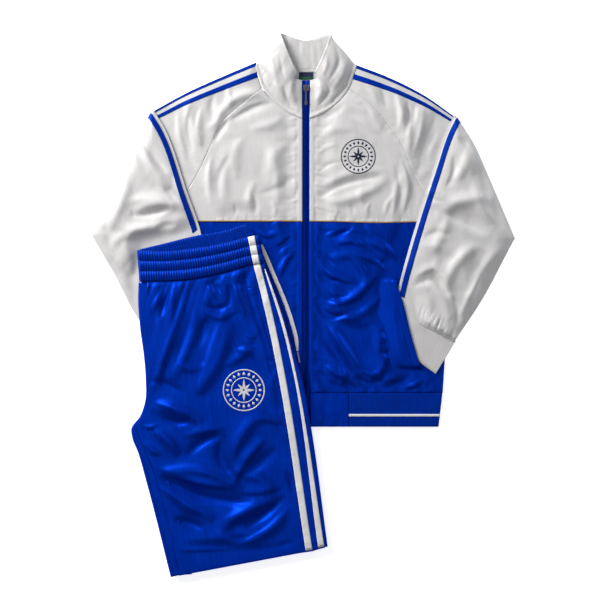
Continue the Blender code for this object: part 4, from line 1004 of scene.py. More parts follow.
def lower_front(side):
    """The lower front panel. The left one is slit at its pocket, and its edge there lies over the cuff."""
    slit_y, end_y = POCKET_Y
    rows_y = stretches((168, slit_y, CELL), (slit_y, end_y, CELL), (end_y, HEM_SEAM, CELL))
    opening = along(POCKET, np.linspace(0, 1, 300))
    slit_x = np.interp(-rows_y, -opening[:, 1], opening[:, 0])
    side_x = np.interp(-rows_y, [-168, -152, -30, 80, -HEM_SEAM], [281, 293.5, 290, 284, 278])
    inner = np.linspace(0, 1, 68)
    outer = np.linspace(0, 1, 38)[1:]
    start = ZIP_X + ZIP_SIDE
    columns = [start + f * (slit_x - start) for f in inner] + [slit_x + g * (side_x - slit_x) for g in outer]
    x = np.stack(columns, axis=1)
    y = np.broadcast_to(rows_y[:, None], x.shape).copy()
    y[0] = piping_y(x[0])
    y[0, -1] = 168
    if side == "right":
        x = 2 * ZIP_X - x
    grid = lifted(np.stack([x, y], axis=-1), front_middle(x, y))
    if side == "right":
        cloth("front_lower_right_cloth", grid, BLUE_TRICOT)
        return
    rows, count = x.shape
    slit = len(inner) - 1
    first, last = int(np.argmax(rows_y == slit_y)), int(np.argmax(rows_y == end_y))
    open_rows = slice(first + 1, last)
    extra = grid[open_rows, slit].copy()
    over = FRONT_Z + WALL / 2 + tuck_rise(x, y)
    far = slit_x[:, None] - x
    lap = (0.25 * uneven(y / 11, far / 30, 51) - 0.45 * np.exp(-(((far - 13) / 1.1) ** 2))) * ramp(over, 4, 7)
    lifts = ramp(y, slit_y, slit_y - 9) * ramp(y, end_y, end_y + 9)
    over = grid[..., 2] + lifts * np.clip(over + lap - grid[..., 2], 0, None)
    grid[open_rows, : slit + 1, 2] = over[open_rows, : slit + 1]
    faces = []
    for face in grid_faces(rows, count):
        right_of_slit = face[0] % count >= slit
        renamed = []
        for i in face:
            r, c = divmod(i, count)
            apart = right_of_slit and c == slit and first < r < last
            renamed.append(rows * count + r - first - 1 if apart else i)
        faces.append(tuple(renamed))
    source = np.arange(first + 1, last) * count + slit
    edge = grid[first + 1 : last, slit - 4 : slit + 1]
    welt = strip("pocket_welt_left_tape", edge, UP, BLUE_TRICOT, "pocket_welt_left", lift=0.7,
                 thickness=0.4)
    row = grid[first + 1 : last, slit - 6] + UP * 0.5
    seams = stitches("pocket_topstitch", [row], BLUE_THREAD)
    cloth("front_lower_left_cloth", grid, BLUE_TRICOT,
          faces=faces, extra=(extra, source))


def back_panels():
    """The two back panels, flat on the floor."""
    x = stretches((RAGLAN["right"][-1][0], ZIP_X, 6), (ZIP_X, RAGLAN["left"][-1][0], 6))
    top = np.where(x > ZIP_X, yoke_top("left", x), yoke_top("right", x))
    hollow = 434 + 36 * np.sqrt(np.clip(1 - ((x - ZIP_X) / 86) ** 2, 0, 1))
    top = np.where(abs(x - ZIP_X) < 80, hollow, top)
    low = piping_y(x)
    t = np.linspace(0, 1, 40)[:, None]
    plan = np.stack([np.broadcast_to(x, (len(t), len(x))), low + t * (top - low)], axis=-1)
    cloth("jacket_back_upper_cloth", lifted(plan, WALL / 2), WHITE_TRICOT)
    left = [(281, 168), (293.5, 151.5), (290, 30), (278, HEM_SEAM)]
    right = [(2 * ZIP_X - px, py) for px, py in left]
    grid = between([right, left], [90], np.linspace(0, 1, 60))
    grid[0, :, 1] = piping_y(grid[0, :, 0])
    cloth("jacket_back_lower_cloth", lifted(grid, WALL / 2), BLUE_TRICOT)


STRIPE_MARKS = [0.0, 7.0, 19.0, 30.0]
END_MARKS = [0.0, 5.0, 16.0, 26.0]
STATIONS = 13


def at_marks(line, marks, q):
    """Points of a line at the stations q, of which the first ones are at marks in millimetres."""
    rest = np.linspace(marks[-1] + (16 if marks is STRIPE_MARKS else 10), length(line), STATIONS - 4)
    t = np.interp(q, np.arange(STATIONS), np.concatenate([marks, rest])) / length(line)
    return along(line, t)


def sleeve_root(side, q):
    """The sleeve's edge along the neck and down the raglan seam to the armpit."""
    neck = NECK[side][:3]
    neck_t = np.concatenate([np.array(STRIPE_MARKS) / length(neck), [1.0]])
    seam_t = (q - 4) / (STATIONS - 6)
    points = np.where((q <= 4)[:, None], along(neck, np.interp(q, np.arange(5), neck_t)),
                      along(RAGLAN[side], np.clip(seam_t, 0, 1)))
    past = np.clip(q - (STATIONS - 2), 0, 1)[:, None]
    return points * (1 - past) + np.array(ARMPIT[side]) * past


def sleeve(side):
    """Both halves of a raglan sleeve, folded forward along one line, and the stripes sewn on them."""
    q = np.unique(np.concatenate([np.linspace(0, 3, 22), np.linspace(3, STATIONS - 1, 88)]))
    root = sleeve_root(side, q)
    crease = at_marks(FOLD[side], STRIPE_MARKS, q)
    tangent = np.gradient(crease, axis=0)
    out = unit(np.stack([-tangent[:, 1], tangent[:, 0]], axis=-1))
    if out[0, 0] * OUTWARD[side] < 0:
        out = -out
    start = crease - FOLD_INSET * out
    end = at_marks([ARM_INNER[side][-1], ARM_UNDER[side][-1]], END_MARKS, q)
    fold_t = travelled(crease)
    fold_t /= fold_t[-1]
    out3 = np.concatenate([out, np.zeros((len(q), 1))], axis=-1)
    for half in ("front", "back"):
        is_front = half == "front"
        low = (FRONT_Z if is_front else BACK_Z) + WALL / 2
        high = (ARM_LOW_Z if is_front else ARM_TOP_Z) + WALL / 2
        near_s = np.linspace(0, 1, 84 if is_front else 8)
        far_s = np.linspace(0, 1, 14 if is_front else 130)
        top, under = along(SHOULDER[side], near_s), along(ROOT_UNDER[side], near_s)
        near = patch(root, start, top, under, near_s, fold_t)
        top, under = along(ARM_INNER[side], far_s), along(ARM_UNDER[side], far_s)
        far = patch(start, end, top, under, far_s, fold_t)
        if is_front:
            shown = front_middle(near[..., 0], near[..., 1])
            hold = ramp(near_s, 0.94, 1.0)[:, None]
            near = lifted(near, shown * (1 - hold) + low * hold)
        else:
            near = lifted(near, low)
        far_z = high - arm_drop(far[..., 0], far[..., 1])
        if not is_front:
            by_cuff = np.exp(-(((far_s - 0.955) / 0.045) ** 2))[:, None]
            clear = ramp(distance(TROUSERS, far[..., 0], far[..., 1]), 8, 30)
            clear = clear * ramp(distance(TUCKED, far[..., 0], far[..., 1]), 12, 30)
            column, row = np.arange(len(q)), far_s[:, None]
            gathers = 1.4 * uneven(column / 5.0, row * 9, 61 if side == "left" else 63)
            gathers = gathers + 0.7 * uneven(column / 2.4, row * 14, 65)
            rise = arm_rise(side, far[..., 0], far[..., 1]) + arm_detail(side, far[..., 0], far[..., 1])
            rise = kept_above(rise, -1.0)
            far_z = far_z + rise + (3.0 + 1.7 * gathers) * clear * by_cuff
            sewn_down = ramp(far_s, 0.965, 1.0)[:, None]
            end_z = CUFF_Z + 1.3 + 0.35 * gathers * clear
            far_z = far_z * (1 - sewn_down) + end_z * sewn_down
        far = lifted(far, far_z)
        radius = (high - low) / 2
        turns, turn_up = [], []
        for angle in np.linspace(0, math.pi, 9)[1:-1]:
            turn = near[-1] + out3 * radius * math.sin(angle)
            turn[:, 2] = low + radius * (1 - math.cos(angle))
            turns.append(turn)
            turn_up.append(out3 * math.sin(angle) - UP * math.cos(angle))
        grid = np.concatenate([near, np.stack(turns), far])
        name = f"sleeve_{side}_{half}"
        if is_front:
            tapes = (
                ("stripe_shoulder_edge", 0.0, 1.0, len(near_s) - 1),
                ("stripe_shoulder", 2.0, 3.0, len(near_s) - 3),
            )
            shown, facing = near, np.broadcast_to(UP, near.shape)
        else:
            last = len(far_s) * (92 if side == "left" else 60) // 100
            tapes = (("stripe_arm", 1.0, 2.0, 3 + last),)
            shown = np.concatenate([turns[4:], far])
            facing = np.concatenate([turn_up[4:], np.broadcast_to(UP, far.shape)])
        for tape, q0, q1, rows in tapes:
            across = (q >= q0 - 1e-6) & (q <= q1 + 1e-6)
            node_name = f"sleeve_{side}_{tape}"
            strip(f"{node_name}_tape", shown[:rows, across], facing[:rows, across],
                                BLUE_TAPE, node_name)
        cloth(f"{name}_cloth", grid, WHITE_TRICOT)


def cuff(side):
    """A knitted cuff: a flattened tube with fine ribs."""
    inner_top, outer_top, outer_low, inner_low = [np.array(p, float) for p in CUFF[side]]
    half_tall, rib_count = 1.3, 40
    across = unit(outer_top - inner_top)
    turn = math.pi * np.arange(1, 8) / 8
    ribs = np.linspace(0, 1, 4 * rib_count + 1)[:, None]
    sideways = np.concatenate([0 * ribs[:, 0], np.sin(turn), 0 * ribs[:, 0], -np.sin(turn)])
    upwards = np.concatenate([1 + 0 * ribs[:, 0], np.cos(turn), -1 + 0 * ribs[:, 0], -np.cos(turn)])
    ridge = 0.13 * np.cos(2 * math.pi * rib_count * ribs[:, 0])
    raised = np.concatenate([ridge, 0 * turn, 0 * ridge, 0 * turn])
    rows = []
    for t in np.concatenate([[-0.07, -0.04, -0.01], np.linspace(0.02, 1, 13)]):
        a = inner_top + t * (inner_low - inner_top)
        b = outer_top + t * (outer_low - outer_top)
        corners = [np.tile(corner, (len(turn), 1)) for corner in (b, a)]
        plan = np.concatenate([a + ribs * (b - a), corners[0], b + ribs * (a - b), corners[1]])
        plan = plan + half_tall * sideways[:, None] * across
        end_dip = 0.9 * ramp(t, 0.03, -0.02) + 0.5 * ramp(t, 0.95, 1.0)
        swell = 0.5 * uneven(ribs[:, 0] * 4, t * 2 + 0 * ribs[:, 0], 71)
        swell = np.concatenate([swell, 0 * turn, 0 * swell, 0 * turn])
        z = CUFF_Z + (half_tall - end_dip) * upwards + (raised + swell) * (upwards > 0.99)
        rows.append(lifted(plan, z))
    cloth(f"cuff_{side}_cloth", np.stack(rows), WHITE_RIB, thickness=RIB_KNIT,
          loop=True)


def collar():
    """The stand collar: one band from the zip round the neck and back to it."""
    half = np.array(COLLAR, float)
    other = half[-2::-1].copy()
    other[:, 0::3] = 2 * ZIP_X - other[:, 0::3]
    stations = np.concatenate([half, other])
    t = np.linspace(0, 1, 230)
    low, mid, top = (along(stations[:, k : k + 3], t) for k in (0, 3, 6))
    v = np.linspace(0, 1, 44)[:, None, None]
    grid = (1 - v) * (1 - 2 * v) * low + 4 * v * (1 - v) * mid + v * (2 * v - 1) * top
    n = unit(np.cross(np.gradient(grid, axis=1), np.gradient(grid, axis=0)))
    if n[20, 20, 2] < 0:
        n = -n
    v = v[..., 0]
    inside = ramp(v, 0, 0.12) * ramp(v, 1, 0.92)
    swell = 0.8 * uneven(t * 24, v * 2.4, 81) + 0.4 * uneven(t * 52, v * 3, 82)
    at_front = ramp(abs(t - 0.5), 0.13, 0.2)
    swell = swell + creases(grid[..., 0], grid[..., 1], COLLAR_CREASES) * at_front
    tuck = 0.8 * uneven(t * 85, v * 1.2, 83) * np.exp(-v / 0.16)
    off_ends = ramp(t, 0, 0.03) * ramp(t, 1, 0.97)
    grid = grid + n * ((swell * inside + tuck * ramp(v, 0, 0.04)) * off_ends)[..., None]
    grooves = 0.5 * np.exp(-(((v - 0.07) / 0.012) ** 2)) + 0.5 * np.exp(-(((v - 0.94) / 0.012) ** 2))
    grid = grid - n * grooves[..., None]
    foot = unit((low - mid)[:, :2])
    flange = []
    for reach in (7.0, 5.6, 4.2, 2.8, 1.4):
        plan = low[:, :2] + foot * reach * np.where(at_front > 0.5, 1.0, 0.75)[:, None]
        on_cloth = front_middle(plan[:, 0], plan[:, 1]) + 1.5 - 0.5 * (reach > 6)
        flange.append(lifted(plan, np.where(at_front > 0.5, np.maximum(on_cloth, low[:, 2]), low[:, 2])))
    grid = np.concatenate([np.stack(flange), grid])
    n = np.concatenate([np.broadcast_to(UP, (5, len(t), 3)), n])
    rows = [grid[k, 4:-4] + n[k, 4:-4] * 0.6 for k in (2, 8, 46)]
    seams = stitches("collar_topstitch", rows, WHITE_THREAD)
    label = neck_label()
    cloth("collar_cloth", grid, WHITE_TRICOT, thickness=1.2)


def neck_label():
    """A small woven label in two plain colours."""
    plan = between([[(-10, 466.5), (-10, 451.5)], [(18, 466.5), (18, 451.5)]], [24], np.linspace(0, 1, 16))
    z = WALL + GAP + 0.5 + 0.35 * np.sin(plan[..., 0] / 6.0)
    obj = thicken(mesh_object("neck_label_cloth", lifted(plan, z), grid_faces(16, 25), LABEL_NAVY), 0.6)
    obj.data.materials.append(LABEL_GREEN)
    for polygon in obj.data.polygons:
        polygon.material_index = 1 if polygon.center.y < 0.4575 else 0
    return placed(obj, "neck_label")


TOOTH_PITCH = 2.6
# A tooth's three stations at its foot and three on top. Columns: out from the zip, half width, height.
TOOTH = [
    (-0.7, 0.4, 0), (2.2, 0.5, 0), (3.1, 0.4, 0),
    (-0.7, 0.3, 1.5), (2.2, 0.4, 1.9), (3.1, 0.3, 0.9),
]


def zip_fastener():
    """Woven tapes and the teeth between them. The slider, its pull and the end box keep their solids."""
    # Lines along a tape, out from the zip's middle, and how far the woven ridges lift each of them.
    lines = (0.4, 3.4, 3.9, 4.6, 5.2, 5.9, 6.6, 7.4, 16.0)
    raised = (0, 0, 0.15, 0.4, 0.15, 0, 0.15, 0, 0)
    y = spread(HEM_EDGE, ZIP_TOP, 5)
    for side, out in OUTWARD.items():
        x = ZIP_X + out * np.array(lines)
        z = FRONT_Z + 0.5 + np.array(raised)
        grid = np.stack([*np.broadcast_arrays(x[None, :], y[:, None], z[None, :])], axis=-1)
        cloth(f"zip_tape_{side}_cloth", grid.astype(float), ZIP_TAPE,
              node=f"zip_tape_{side}", thickness=0.8)
    base = FRONT_Z + 1.4
    points, faces = [], []
    for k, place in enumerate(np.arange(HEM_EDGE + 15, 427.5, TOOTH_PITCH / 2)):
        out = 1 if k % 2 else -1
        n = len(points)
        for x, half, z in TOOTH:
            points += [(ZIP_X + out * x, place - half, base + z), (ZIP_X + out * x, place + half, base + z)]
        for a, b in ((0, 2), (2, 4), (4, 10), (10, 8), (8, 6), (6, 0)):
            faces.append((n + a, n + a + 1, n + b + 1, n + b))
        faces += [(n, n + 2, n + 8, n + 6), (n + 2, n + 4, n + 10, n + 8)]
        faces += [(n + 1, n + 7, n + 9, n + 3), (n + 3, n + 9, n + 11, n + 5)]
    teeth = mesh_object("zip_teeth", points, faces, ZIP_NYLON)
    placed(teeth, "zip_coil")


def tube_faces(count, around):
    """Faces of a closed tube of count rings: its wall and its two flat ends."""
    last = count * around
    ends = [tuple(range(around)), tuple(range(last - 1, last - around - 1, -1))]
    return grid_faces(count, around, loop=True) + ends


def piping(side):
    """A thin covered cord sewn in the seam across the front."""
    out = OUTWARD[side]
    x = spread(ZIP_X + out * ZIP_SIDE, 224 if side == "left" else -214, 3)
    y = piping_y(x)
    z = front_middle(x, y) + 0.9
    turn = np.linspace(0, 2 * math.pi, 11)[:-1]
    ring = np.stack([0 * turn, np.cos(turn), 0.75 * np.sin(turn)], axis=-1) * 1.15
    points = np.stack([x, y, z], axis=-1)[:, None] + ring
    obj = mesh_object(f"piping_{side}_cord", points, tube_faces(len(x), 10), GOLD_PIPING)
    placed(obj, f"piping_{side}")


HEM_RIB = 3.6
HEM_TAPE_Y = (-218.5, -223.5)


def hem():
    """The hem: a plain placket by the zip, then a ribbed band with a white tape, and the back's band."""
    rows = stretches((HEM_SEAM, HEM_TAPE_Y[0], 3), (*HEM_TAPE_Y, 1.7), (HEM_TAPE_Y[1], HEM_EDGE, 3))
    for side in ("left", "right"):
        out = OUTWARD[side]
        for name, first, last in (("hem_placket", ZIP_SIDE, 86.0), ("hem_rib", 86.0, 273.5)):
            step = 3.0 if name == "hem_placket" else HEM_RIB / 4
            x = ZIP_X + out * spread(first, last, step)
            plan = np.stack(np.broadcast_arrays(x[None, :], rows[:, None]), axis=-1).astype(float)
            share = (HEM_SEAM - rows) / (HEM_SEAM - HEM_EDGE)
            if name == "hem_rib":
                plan[..., 0] -= out * 8 * share[:, None] * ramp(abs(x - ZIP_X), 180, 273)
            off = abs(plan[..., 0] - ZIP_X)
            z = FRONT_Z + ZIP_LIFT * (1 - ramp(off, 22, 42)) + WALL / 2
            in_depth = ramp(share, 0, 0.08) * ramp(share, 1, 0.95)
            covered = ramp(distance(TROUSERS, plan[..., 0], plan[..., 1]), 0, 8)
            if name == "hem_rib":
                z = z + 0.32 * np.cos(2 * math.pi * off / HEM_RIB) * in_depth[:, None]
                z = z + 0.5 * uneven(off / 40, plan[..., 1] / 30, 91) * in_depth[:, None] * covered
            else:
                pulled = 0.9 * uneven(off / 17, plan[..., 1] / 15, 92) * ramp(off, 18, 30)
                z = z + covered * in_depth[:, None] * pulled
                z = z - 0.45 * np.exp(-(((off - FACING) / 1.0) ** 2))
            z = z - 0.5 * ramp(share, 0.05, 0)[:, None]
            grid = lifted(plan, z)
            pieces = []
            material, slot = BLUE_TRICOT, "blue_tricot"
            if name == "hem_rib":
                material, slot = BLUE_RIB, "blue_rib"
                band = (rows <= HEM_TAPE_Y[0] + 0.1) & (rows >= HEM_TAPE_Y[1] - 0.1)
                pieces = [strip(f"hem_stripe_{side}_tape", grid[band], UP, WHITE_TAPE,
                                f"hem_stripe_{side}", lift=1.1)]
            cloth(f"{name}_{side}_cloth", grid, material, thickness=RIB_KNIT)
    ends = [[(-269.5, HEM_SEAM), (-261.5, HEM_EDGE)], [(277.5, HEM_SEAM), (269.5, HEM_EDGE)]]
    grid = between(ends, [600], np.linspace(0, 1, 8))
    ridge = 0.3 * np.cos(2 * math.pi * grid[..., 0] / HEM_RIB)
    cloth("hem_back_cloth", lifted(grid, WALL / 2 + ridge), BLUE_RIB, thickness=RIB_KNIT)


def trouser_stack():
    """The hidden layers of the folded trousers: one rounded form, layered at its edges."""
    left = [(-329, 86)] + TROUSER_LEFT
    right = [(-92, 112)] + TROUSER_RIGHT
    grid = between([left, right], [40], np.linspace(0, 1, 90))
    rows, columns = grid.shape[:2]
    ids = np.arange(rows * columns).reshape(rows, columns)
    ring = np.concatenate([ids[0, :-1], ids[:-1, -1], ids[-1, :0:-1], ids[:0:-1, 0]])
    flat = grid.reshape(-1, 2).copy()
    edge = flat[ring]
    tangent = np.roll(edge, -1, axis=0) - np.roll(edge, 1, axis=0)
    out = unit(np.stack([tangent[:, 1], -tangent[:, 0]], axis=-1))
    if ((edge - flat.mean(axis=0)) * out).sum() < 0:
        out = -out
    flat[ring] = edge - 9.0 * out
    low = support(flat[:, 0], flat[:, 1]) * (1 + GAP / OVER_BODY)
    inside = -distance(LEG, flat[:, 0], flat[:, 1])
    high = stack_top(flat[:, 0], flat[:, 1]) - 6.0 * ramp(inside, 14, 40)
    high[ring] -= 2.0
    points = [np.column_stack([flat, low]), np.column_stack([flat, high])]
    shares = np.linspace(0.03, 0.97, 22)
    for share in shares:
        depth = 5.2 + 2.6 * abs(math.cos(4 * math.pi * share)) ** 6
        plan = edge - depth * out
        points.append(np.column_stack([plan, low[ring] + share * (high[ring] - low[ring])]))
    n, m = len(flat), len(ring)
    faces = [face[::-1] for face in grid_faces(rows, columns)]
    faces += [tuple(i + n for i in face) for face in grid_faces(rows, columns)]
    loops = [list(ring)] + [list(2 * n + k * m + np.arange(m)) for k in range(len(shares))] + [list(ring + n)]
    for below, above in zip(loops, loops[1:]):
        faces += [(below[(k + 1) % m], below[k], above[k], above[(k + 1) % m]) for k in range(m)]
    points = np.concatenate(points)
    uvs = points[:, :2] * MM + points[:, 2:] * MM
    stack = mesh_object("trousers_folded_layers_cloth", points, faces, BLUE_TRICOT, uvs)
    placed(stack, "trousers_folded_layers")


LEG_EDGE = 3.2


def leg_gathers(x, y, t):
    """Gathers that fan out below the waistband."""
    along_fold = x - 0.35 * (y - 60)
    short = uneven(along_fold / 8.5, 2.5 * t, 41) + 0.6 * uneven(along_fold / 4.5, 5 * t, 42)
    long = uneven(along_fold / 19.0, 3 * t, 43)
    rolled = 1.3 * np.exp(-((t / 0.05) ** 2))
    fine = 2.3 * short * np.exp(-t / 0.06)
    broad = 3.0 * long * np.exp(-((t / 0.2) ** 2))
    return (fine + broad + rolled) * ramp(t, 0.0, 0.025)


def trouser_leg():
    """The folded trousers' upper leg, its pocket welt and side stripes, and a strip of the other leg."""
    body_rows = np.linspace(0, 1, 232)[:-1]
    angle = np.linspace(0, math.pi / 2, 7)
    turned = LEG_EDGE * (1 - np.sin(angle))
    t = np.concatenate([body_rows[: -3], 1 - turned / 590.0, [1.0, 0.999]])
    drop_rows = np.concatenate([0 * body_rows[: -3], LEG_EDGE * (1 - np.cos(angle)), [7.0, 11.0]])
    edges = [[(x - LEG_EDGE * (1 - math.sin(a)), y) for x, y in TROUSER_RIGHT] for a in angle]
    stripe_one_outer = [(x + 13, y + 2) for x, y in STRIPE_ONE]
    guides = [INSEAM, LEG_POCKET, STRIPE_ONE, stripe_one_outer, STRIPE_TWO, STRIPE_TWO_OUTER] + edges
    guides.append([(x - 0.2, y) for x, y in TROUSER_RIGHT])
    plan = between(guides, [76, 5, 6, 5, 6, 4] + [1] * len(angle), t)
    band = along(BAND_BOTTOM, np.linspace(0, 1, 60))
    plan[..., 1] += (np.interp(plan[0, :, 0], *band.T) - plan[0, :, 1]) * ramp(t, 0.25, 0)[:, None]
    drop_columns = np.zeros(plan.shape[1])
    drop_columns[-len(angle) - 1 : -1] = LEG_EDGE * (1 - np.cos(angle))
    drop_columns[-1] = 8.0
    x, y = plan[..., 0], plan[..., 1]
    z = leg_middle(x, y) + leg_detail(x, y) + leg_gathers(x, y, t[:, None])
    z = z - 1.2 * ramp(t, 0.012, 0)[:, None]
    z = z - np.maximum(drop_rows[:, None], drop_columns[None, :])
    grid = lifted(plan, z)
    up = normals(grid)
    flat = len(body_rows) - 2
    # Columns where the pocket, stripe one and stripe two start.
    pocket = 76
    one = pocket + 5
    two = one + 6 + 5
    opening, welt = slice(18, 78), slice(pocket, pocket + 4)
    tapes = [
        strip("trouser_stripe_one_tape", grid[:flat, one : one + 7], up[:flat, one : one + 7], WHITE_TAPE,
              "trouser_stripe_one"),
        strip("trouser_stripe_two_tape", grid[5:flat, two : two + 7], up[5:flat, two : two + 7], WHITE_TAPE,
              "trouser_stripe_two"),
        strip("trouser_pocket_welt_tape", grid[opening, welt], up[opening, welt], BLUE_TRICOT,
              "trouser_pocket_welt", lift=0.8, thickness=0.6),
    ]
    lines = [grid[4:flat, k] + up[4:flat, k] * 0.9 for k in (one, one + 6)]
    lines += [grid[7:flat, k] + up[7:flat, k] * 0.9 for k in (two, two + 6)]
    tapes.append(stitches("stripe_stitches", lines, WHITE_THREAD))
    row = grid[opening, pocket - 4] + up[opening, pocket - 4] * 0.5
    tapes.append(stitches("trouser_pocket_topstitch", [row], BLUE_THREAD))
    cloth("trouser_leg_front_cloth", grid, BLUE_TRICOT)
    under = [(px + 26, py + 2) for px, py in INSEAM]
    strip_grid = between([TROUSER_LEFT, INSEAM, under], [8, 8], np.linspace(0, 0.9985, 200))
    sx, sy = strip_grid[..., 0], strip_grid[..., 1]
    z = stack_top(sx, sy) + 1.2 + 0.3 * uneven(sy / 14, sx / 9, 45)
    z[:, :4] -= np.array([3.2, 1.6, 0.8, 0.3])
    cloth("trouser_leg_under_cloth", lifted(strip_grid, z), BLUE_TRICOT, thickness=JERSEY)


WAIST_RIBS = 50


def band_point(t, v):
    """Points of the waistband's front: three puffed, ribbed rows between sewn lines."""
    t, v = np.broadcast_arrays(np.asarray(t, float), np.asarray(v, float))
    plan = along(BAND_TOP, t.ravel()).reshape(*t.shape, 2) * (1 - v[..., None])
    plan = plan + along(BAND_BOTTOM, t.ravel()).reshape(*t.shape, 2) * v[..., None]
    puff = 3.6 * np.clip(abs(np.sin(3 * math.pi * v)), 0, 1) ** 0.55
    row = np.clip(np.floor(v * 3), 0, 2)
    ribs = 1.05 * np.cos(2 * math.pi * WAIST_RIBS * (t + 0.002 * row + 0.0016 * np.sin(9 * v)))
    ribs = ribs * (0.35 + 0.65 * np.sin(3 * math.pi * np.clip(v, 0, 1)) ** 2)
    side = 5.0 * (ramp(t, 0.012, 0) + ramp(t, 0.988, 1.0))
    z = stack_top(plan[..., 0], plan[..., 1]) + LEG_LIFT + WALL / 2 + 0.2
    z = z + puff + ribs * ramp(t, 0, 0.01) - side
    z = z + 0.5 * uneven(t * 9, v * 2, 95) - 0.9 * ramp(v, 0.02, 0)
    return lifted(plan, z)


def waistband():
    """The elastic waistband: its front in three ribbed rows, and the back that shows inside it."""
    t = np.linspace(0, 1, WAIST_RIBS * 6 + 1)
    v = np.linspace(0, 0.995, 37)
    grid = band_point(t[None, :], v[:, None])
    top_t = np.interp([-112, -99], along(BAND_TOP, t)[:, 0], t)
    low_t = np.interp([-101, -88], along(BAND_BOTTOM, t)[:, 0], t)
    share = np.linspace(0, 1, 7)[None, :]
    first = top_t[0] + (low_t[0] - top_t[0]) * v[:, None]
    last = top_t[1] + (low_t[1] - top_t[1]) * v[:, None]
    tape_grid = band_point(first + (last - first) * share, v[:, None])
    tape = strip("trouser_stripe_band_tape", tape_grid, UP, WHITE_TAPE, "trouser_stripe_band",
                 lift=1.3)
    rows = [band_point(t[4:-4], np.full(len(t) - 8, k)) + UP * 0.7 for k in (1 / 3, 2 / 3)]
    seams = stitches("waistband_stitches", rows, BLUE_THREAD)
    cloth("trouser_waistband_front_cloth", grid, BLUE_RIB, thickness=RIB_KNIT)
    t = np.linspace(0.02, 0.99, 240)
    top = along(BACK_BAND_TOP, t)
    low = along([(x + 3, y - 12) for x, y in BAND_TOP], t)
    v = np.linspace(0, 1, 10)[:, None]
    plan = top[None] * (1 - v[..., None]) + low[None] * v[..., None]
    z = support(plan[..., 0], plan[..., 1]) + BACK_BAND_LIFT + 0.8 * np.cos(2 * math.pi * 46 * t)[None, :]
    z = z - 0.8 * ramp(v, 0.1, 0)
    cloth("trouser_waistband_back_cloth", lifted(plan, z), BLUE_RIB, thickness=RIB_KNIT)


CORD_WIDTH = 8.0
CORD_WALL = 1.6


def drawstring():
    """The flat braided cord that hangs out of the waistband and lies on the jacket."""
    line = along(DRAWSTRING, np.linspace(0, 1, 40))
    way = unit(np.gradient(line, axis=0))
    across = unit(np.cross(way, UP))
    over = np.cross(across, way)
    turn = np.linspace(0, 2 * math.pi, 17)[:-1]
    wide = np.sign(np.cos(turn)) * abs(np.cos(turn)) ** 0.6 * CORD_WIDTH / 2
    tall = np.sign(np.sin(turn)) * abs(np.sin(turn)) ** 0.6 * CORD_WALL / 2
    taper = 1 - 0.5 * ramp(np.arange(len(line)), len(line) - 5, len(line) - 1)
    points = line[:, None] + wide[None, :, None] * taper[:, None, None] * across[:, None]
    points = points + tall[None, :, None] * over[:, None]
    run_along = np.linspace(0, length(DRAWSTRING), len(line))
    uvs = np.stack(np.broadcast_arrays(wide[None, :] * MM, run_along[:, None] * MM), axis=-1).reshape(-1, 2)
    cord = mesh_object("drawstring_cord", points, tube_faces(len(line), 16), CORD_BRAID, uvs)
    placed(cord, "drawstring")


def emblem(name, centre, radius, surface, material):
    """A round print: a thin ring, a ring of small diamonds and an eight-pointed compass star."""
    points, faces = [], []

    def fan(inner, outer, count, steps, first=0.0, span=2 * math.pi):
        """A ring, or a part of one, between two radii that may change with the angle."""
        start = len(points)
        angle = first + np.linspace(0, span, count + 1)
        for k in range(steps + 1):
            r = inner(angle) + (outer(angle) - inner(angle)) * k / steps
            for a, d in zip(angle, r):
                points.append((centre[0] + d * math.cos(a), centre[1] + d * math.sin(a)))
        faces.extend(tuple(start + i for i in face) for face in grid_faces(steps + 1, count + 1))

    def flat(value):
        return lambda angle: np.full(len(angle), value * radius)

    fan(flat(0.94), flat(1.0), 120, 1)
    fan(flat(0.56), flat(0.61), 96, 1)
    for k in range(20):
        middle = 2 * math.pi * k / 20
        fan(lambda a, m=middle: radius * (0.775 - 0.1 * (1 - abs(a - m) / 0.09)),
            lambda a, m=middle: radius * (0.775 + 0.1 * (1 - abs(a - m) / 0.09)), 6, 2, middle - 0.09, 0.18)

    def star(angle):
        """Radius of the star's edge: eight points, every second one longer."""
        turn = np.mod(angle - math.pi / 2, math.pi / 4) / (math.pi / 4)
        point = abs(turn - 0.5) * 2
        long = np.where(np.mod(np.round((angle - math.pi / 2) / (math.pi / 4)), 2) == 0, 0.52, 0.4)
        return radius * (0.17 + (long - 0.17) * point ** 1.6)

    fan(flat(0.045), star, 192, 6)
    plan = np.array(points)
    obj = mesh_object(name, lifted(plan, surface(plan[:, 0], plan[:, 1])), faces, material)
    thicken(obj, 0.16)
    placed(obj, None)
    return obj


def front_topstitch():
    """Rows of topstitching beside the zip, above and below the piping, and a row just above the piping."""
    white, blue = [], []
    for side, out in OUTWARD.items():
        for off in (9.0, FACING):
            x = ZIP_X + out * off
            y = np.linspace(piping_y(x) + 2, float(yoke_top(side, x)) - 3, 120)
            white.append(on_front(np.stack([np.full(120, x), y], axis=-1)))
            y = np.linspace(HEM_EDGE + 4, piping_y(x) - 2, 160)
            line = np.stack([np.full(160, x), y], axis=-1)
            shown = (distance(TROUSERS, line[:, 0], line[:, 1]) > 3) & (y > HEM_SEAM + 1)
            blue.append(on_front(line[shown]))
        x = ZIP_X + out * np.linspace(FACING + 1, 214, 120)
        white.append(on_front(np.stack([x, piping_y(x) + 7], axis=-1)))
    stitches("white_topstitch", white, WHITE_THREAD)
    stitches("blue_topstitch", blue, BLUE_THREAD)


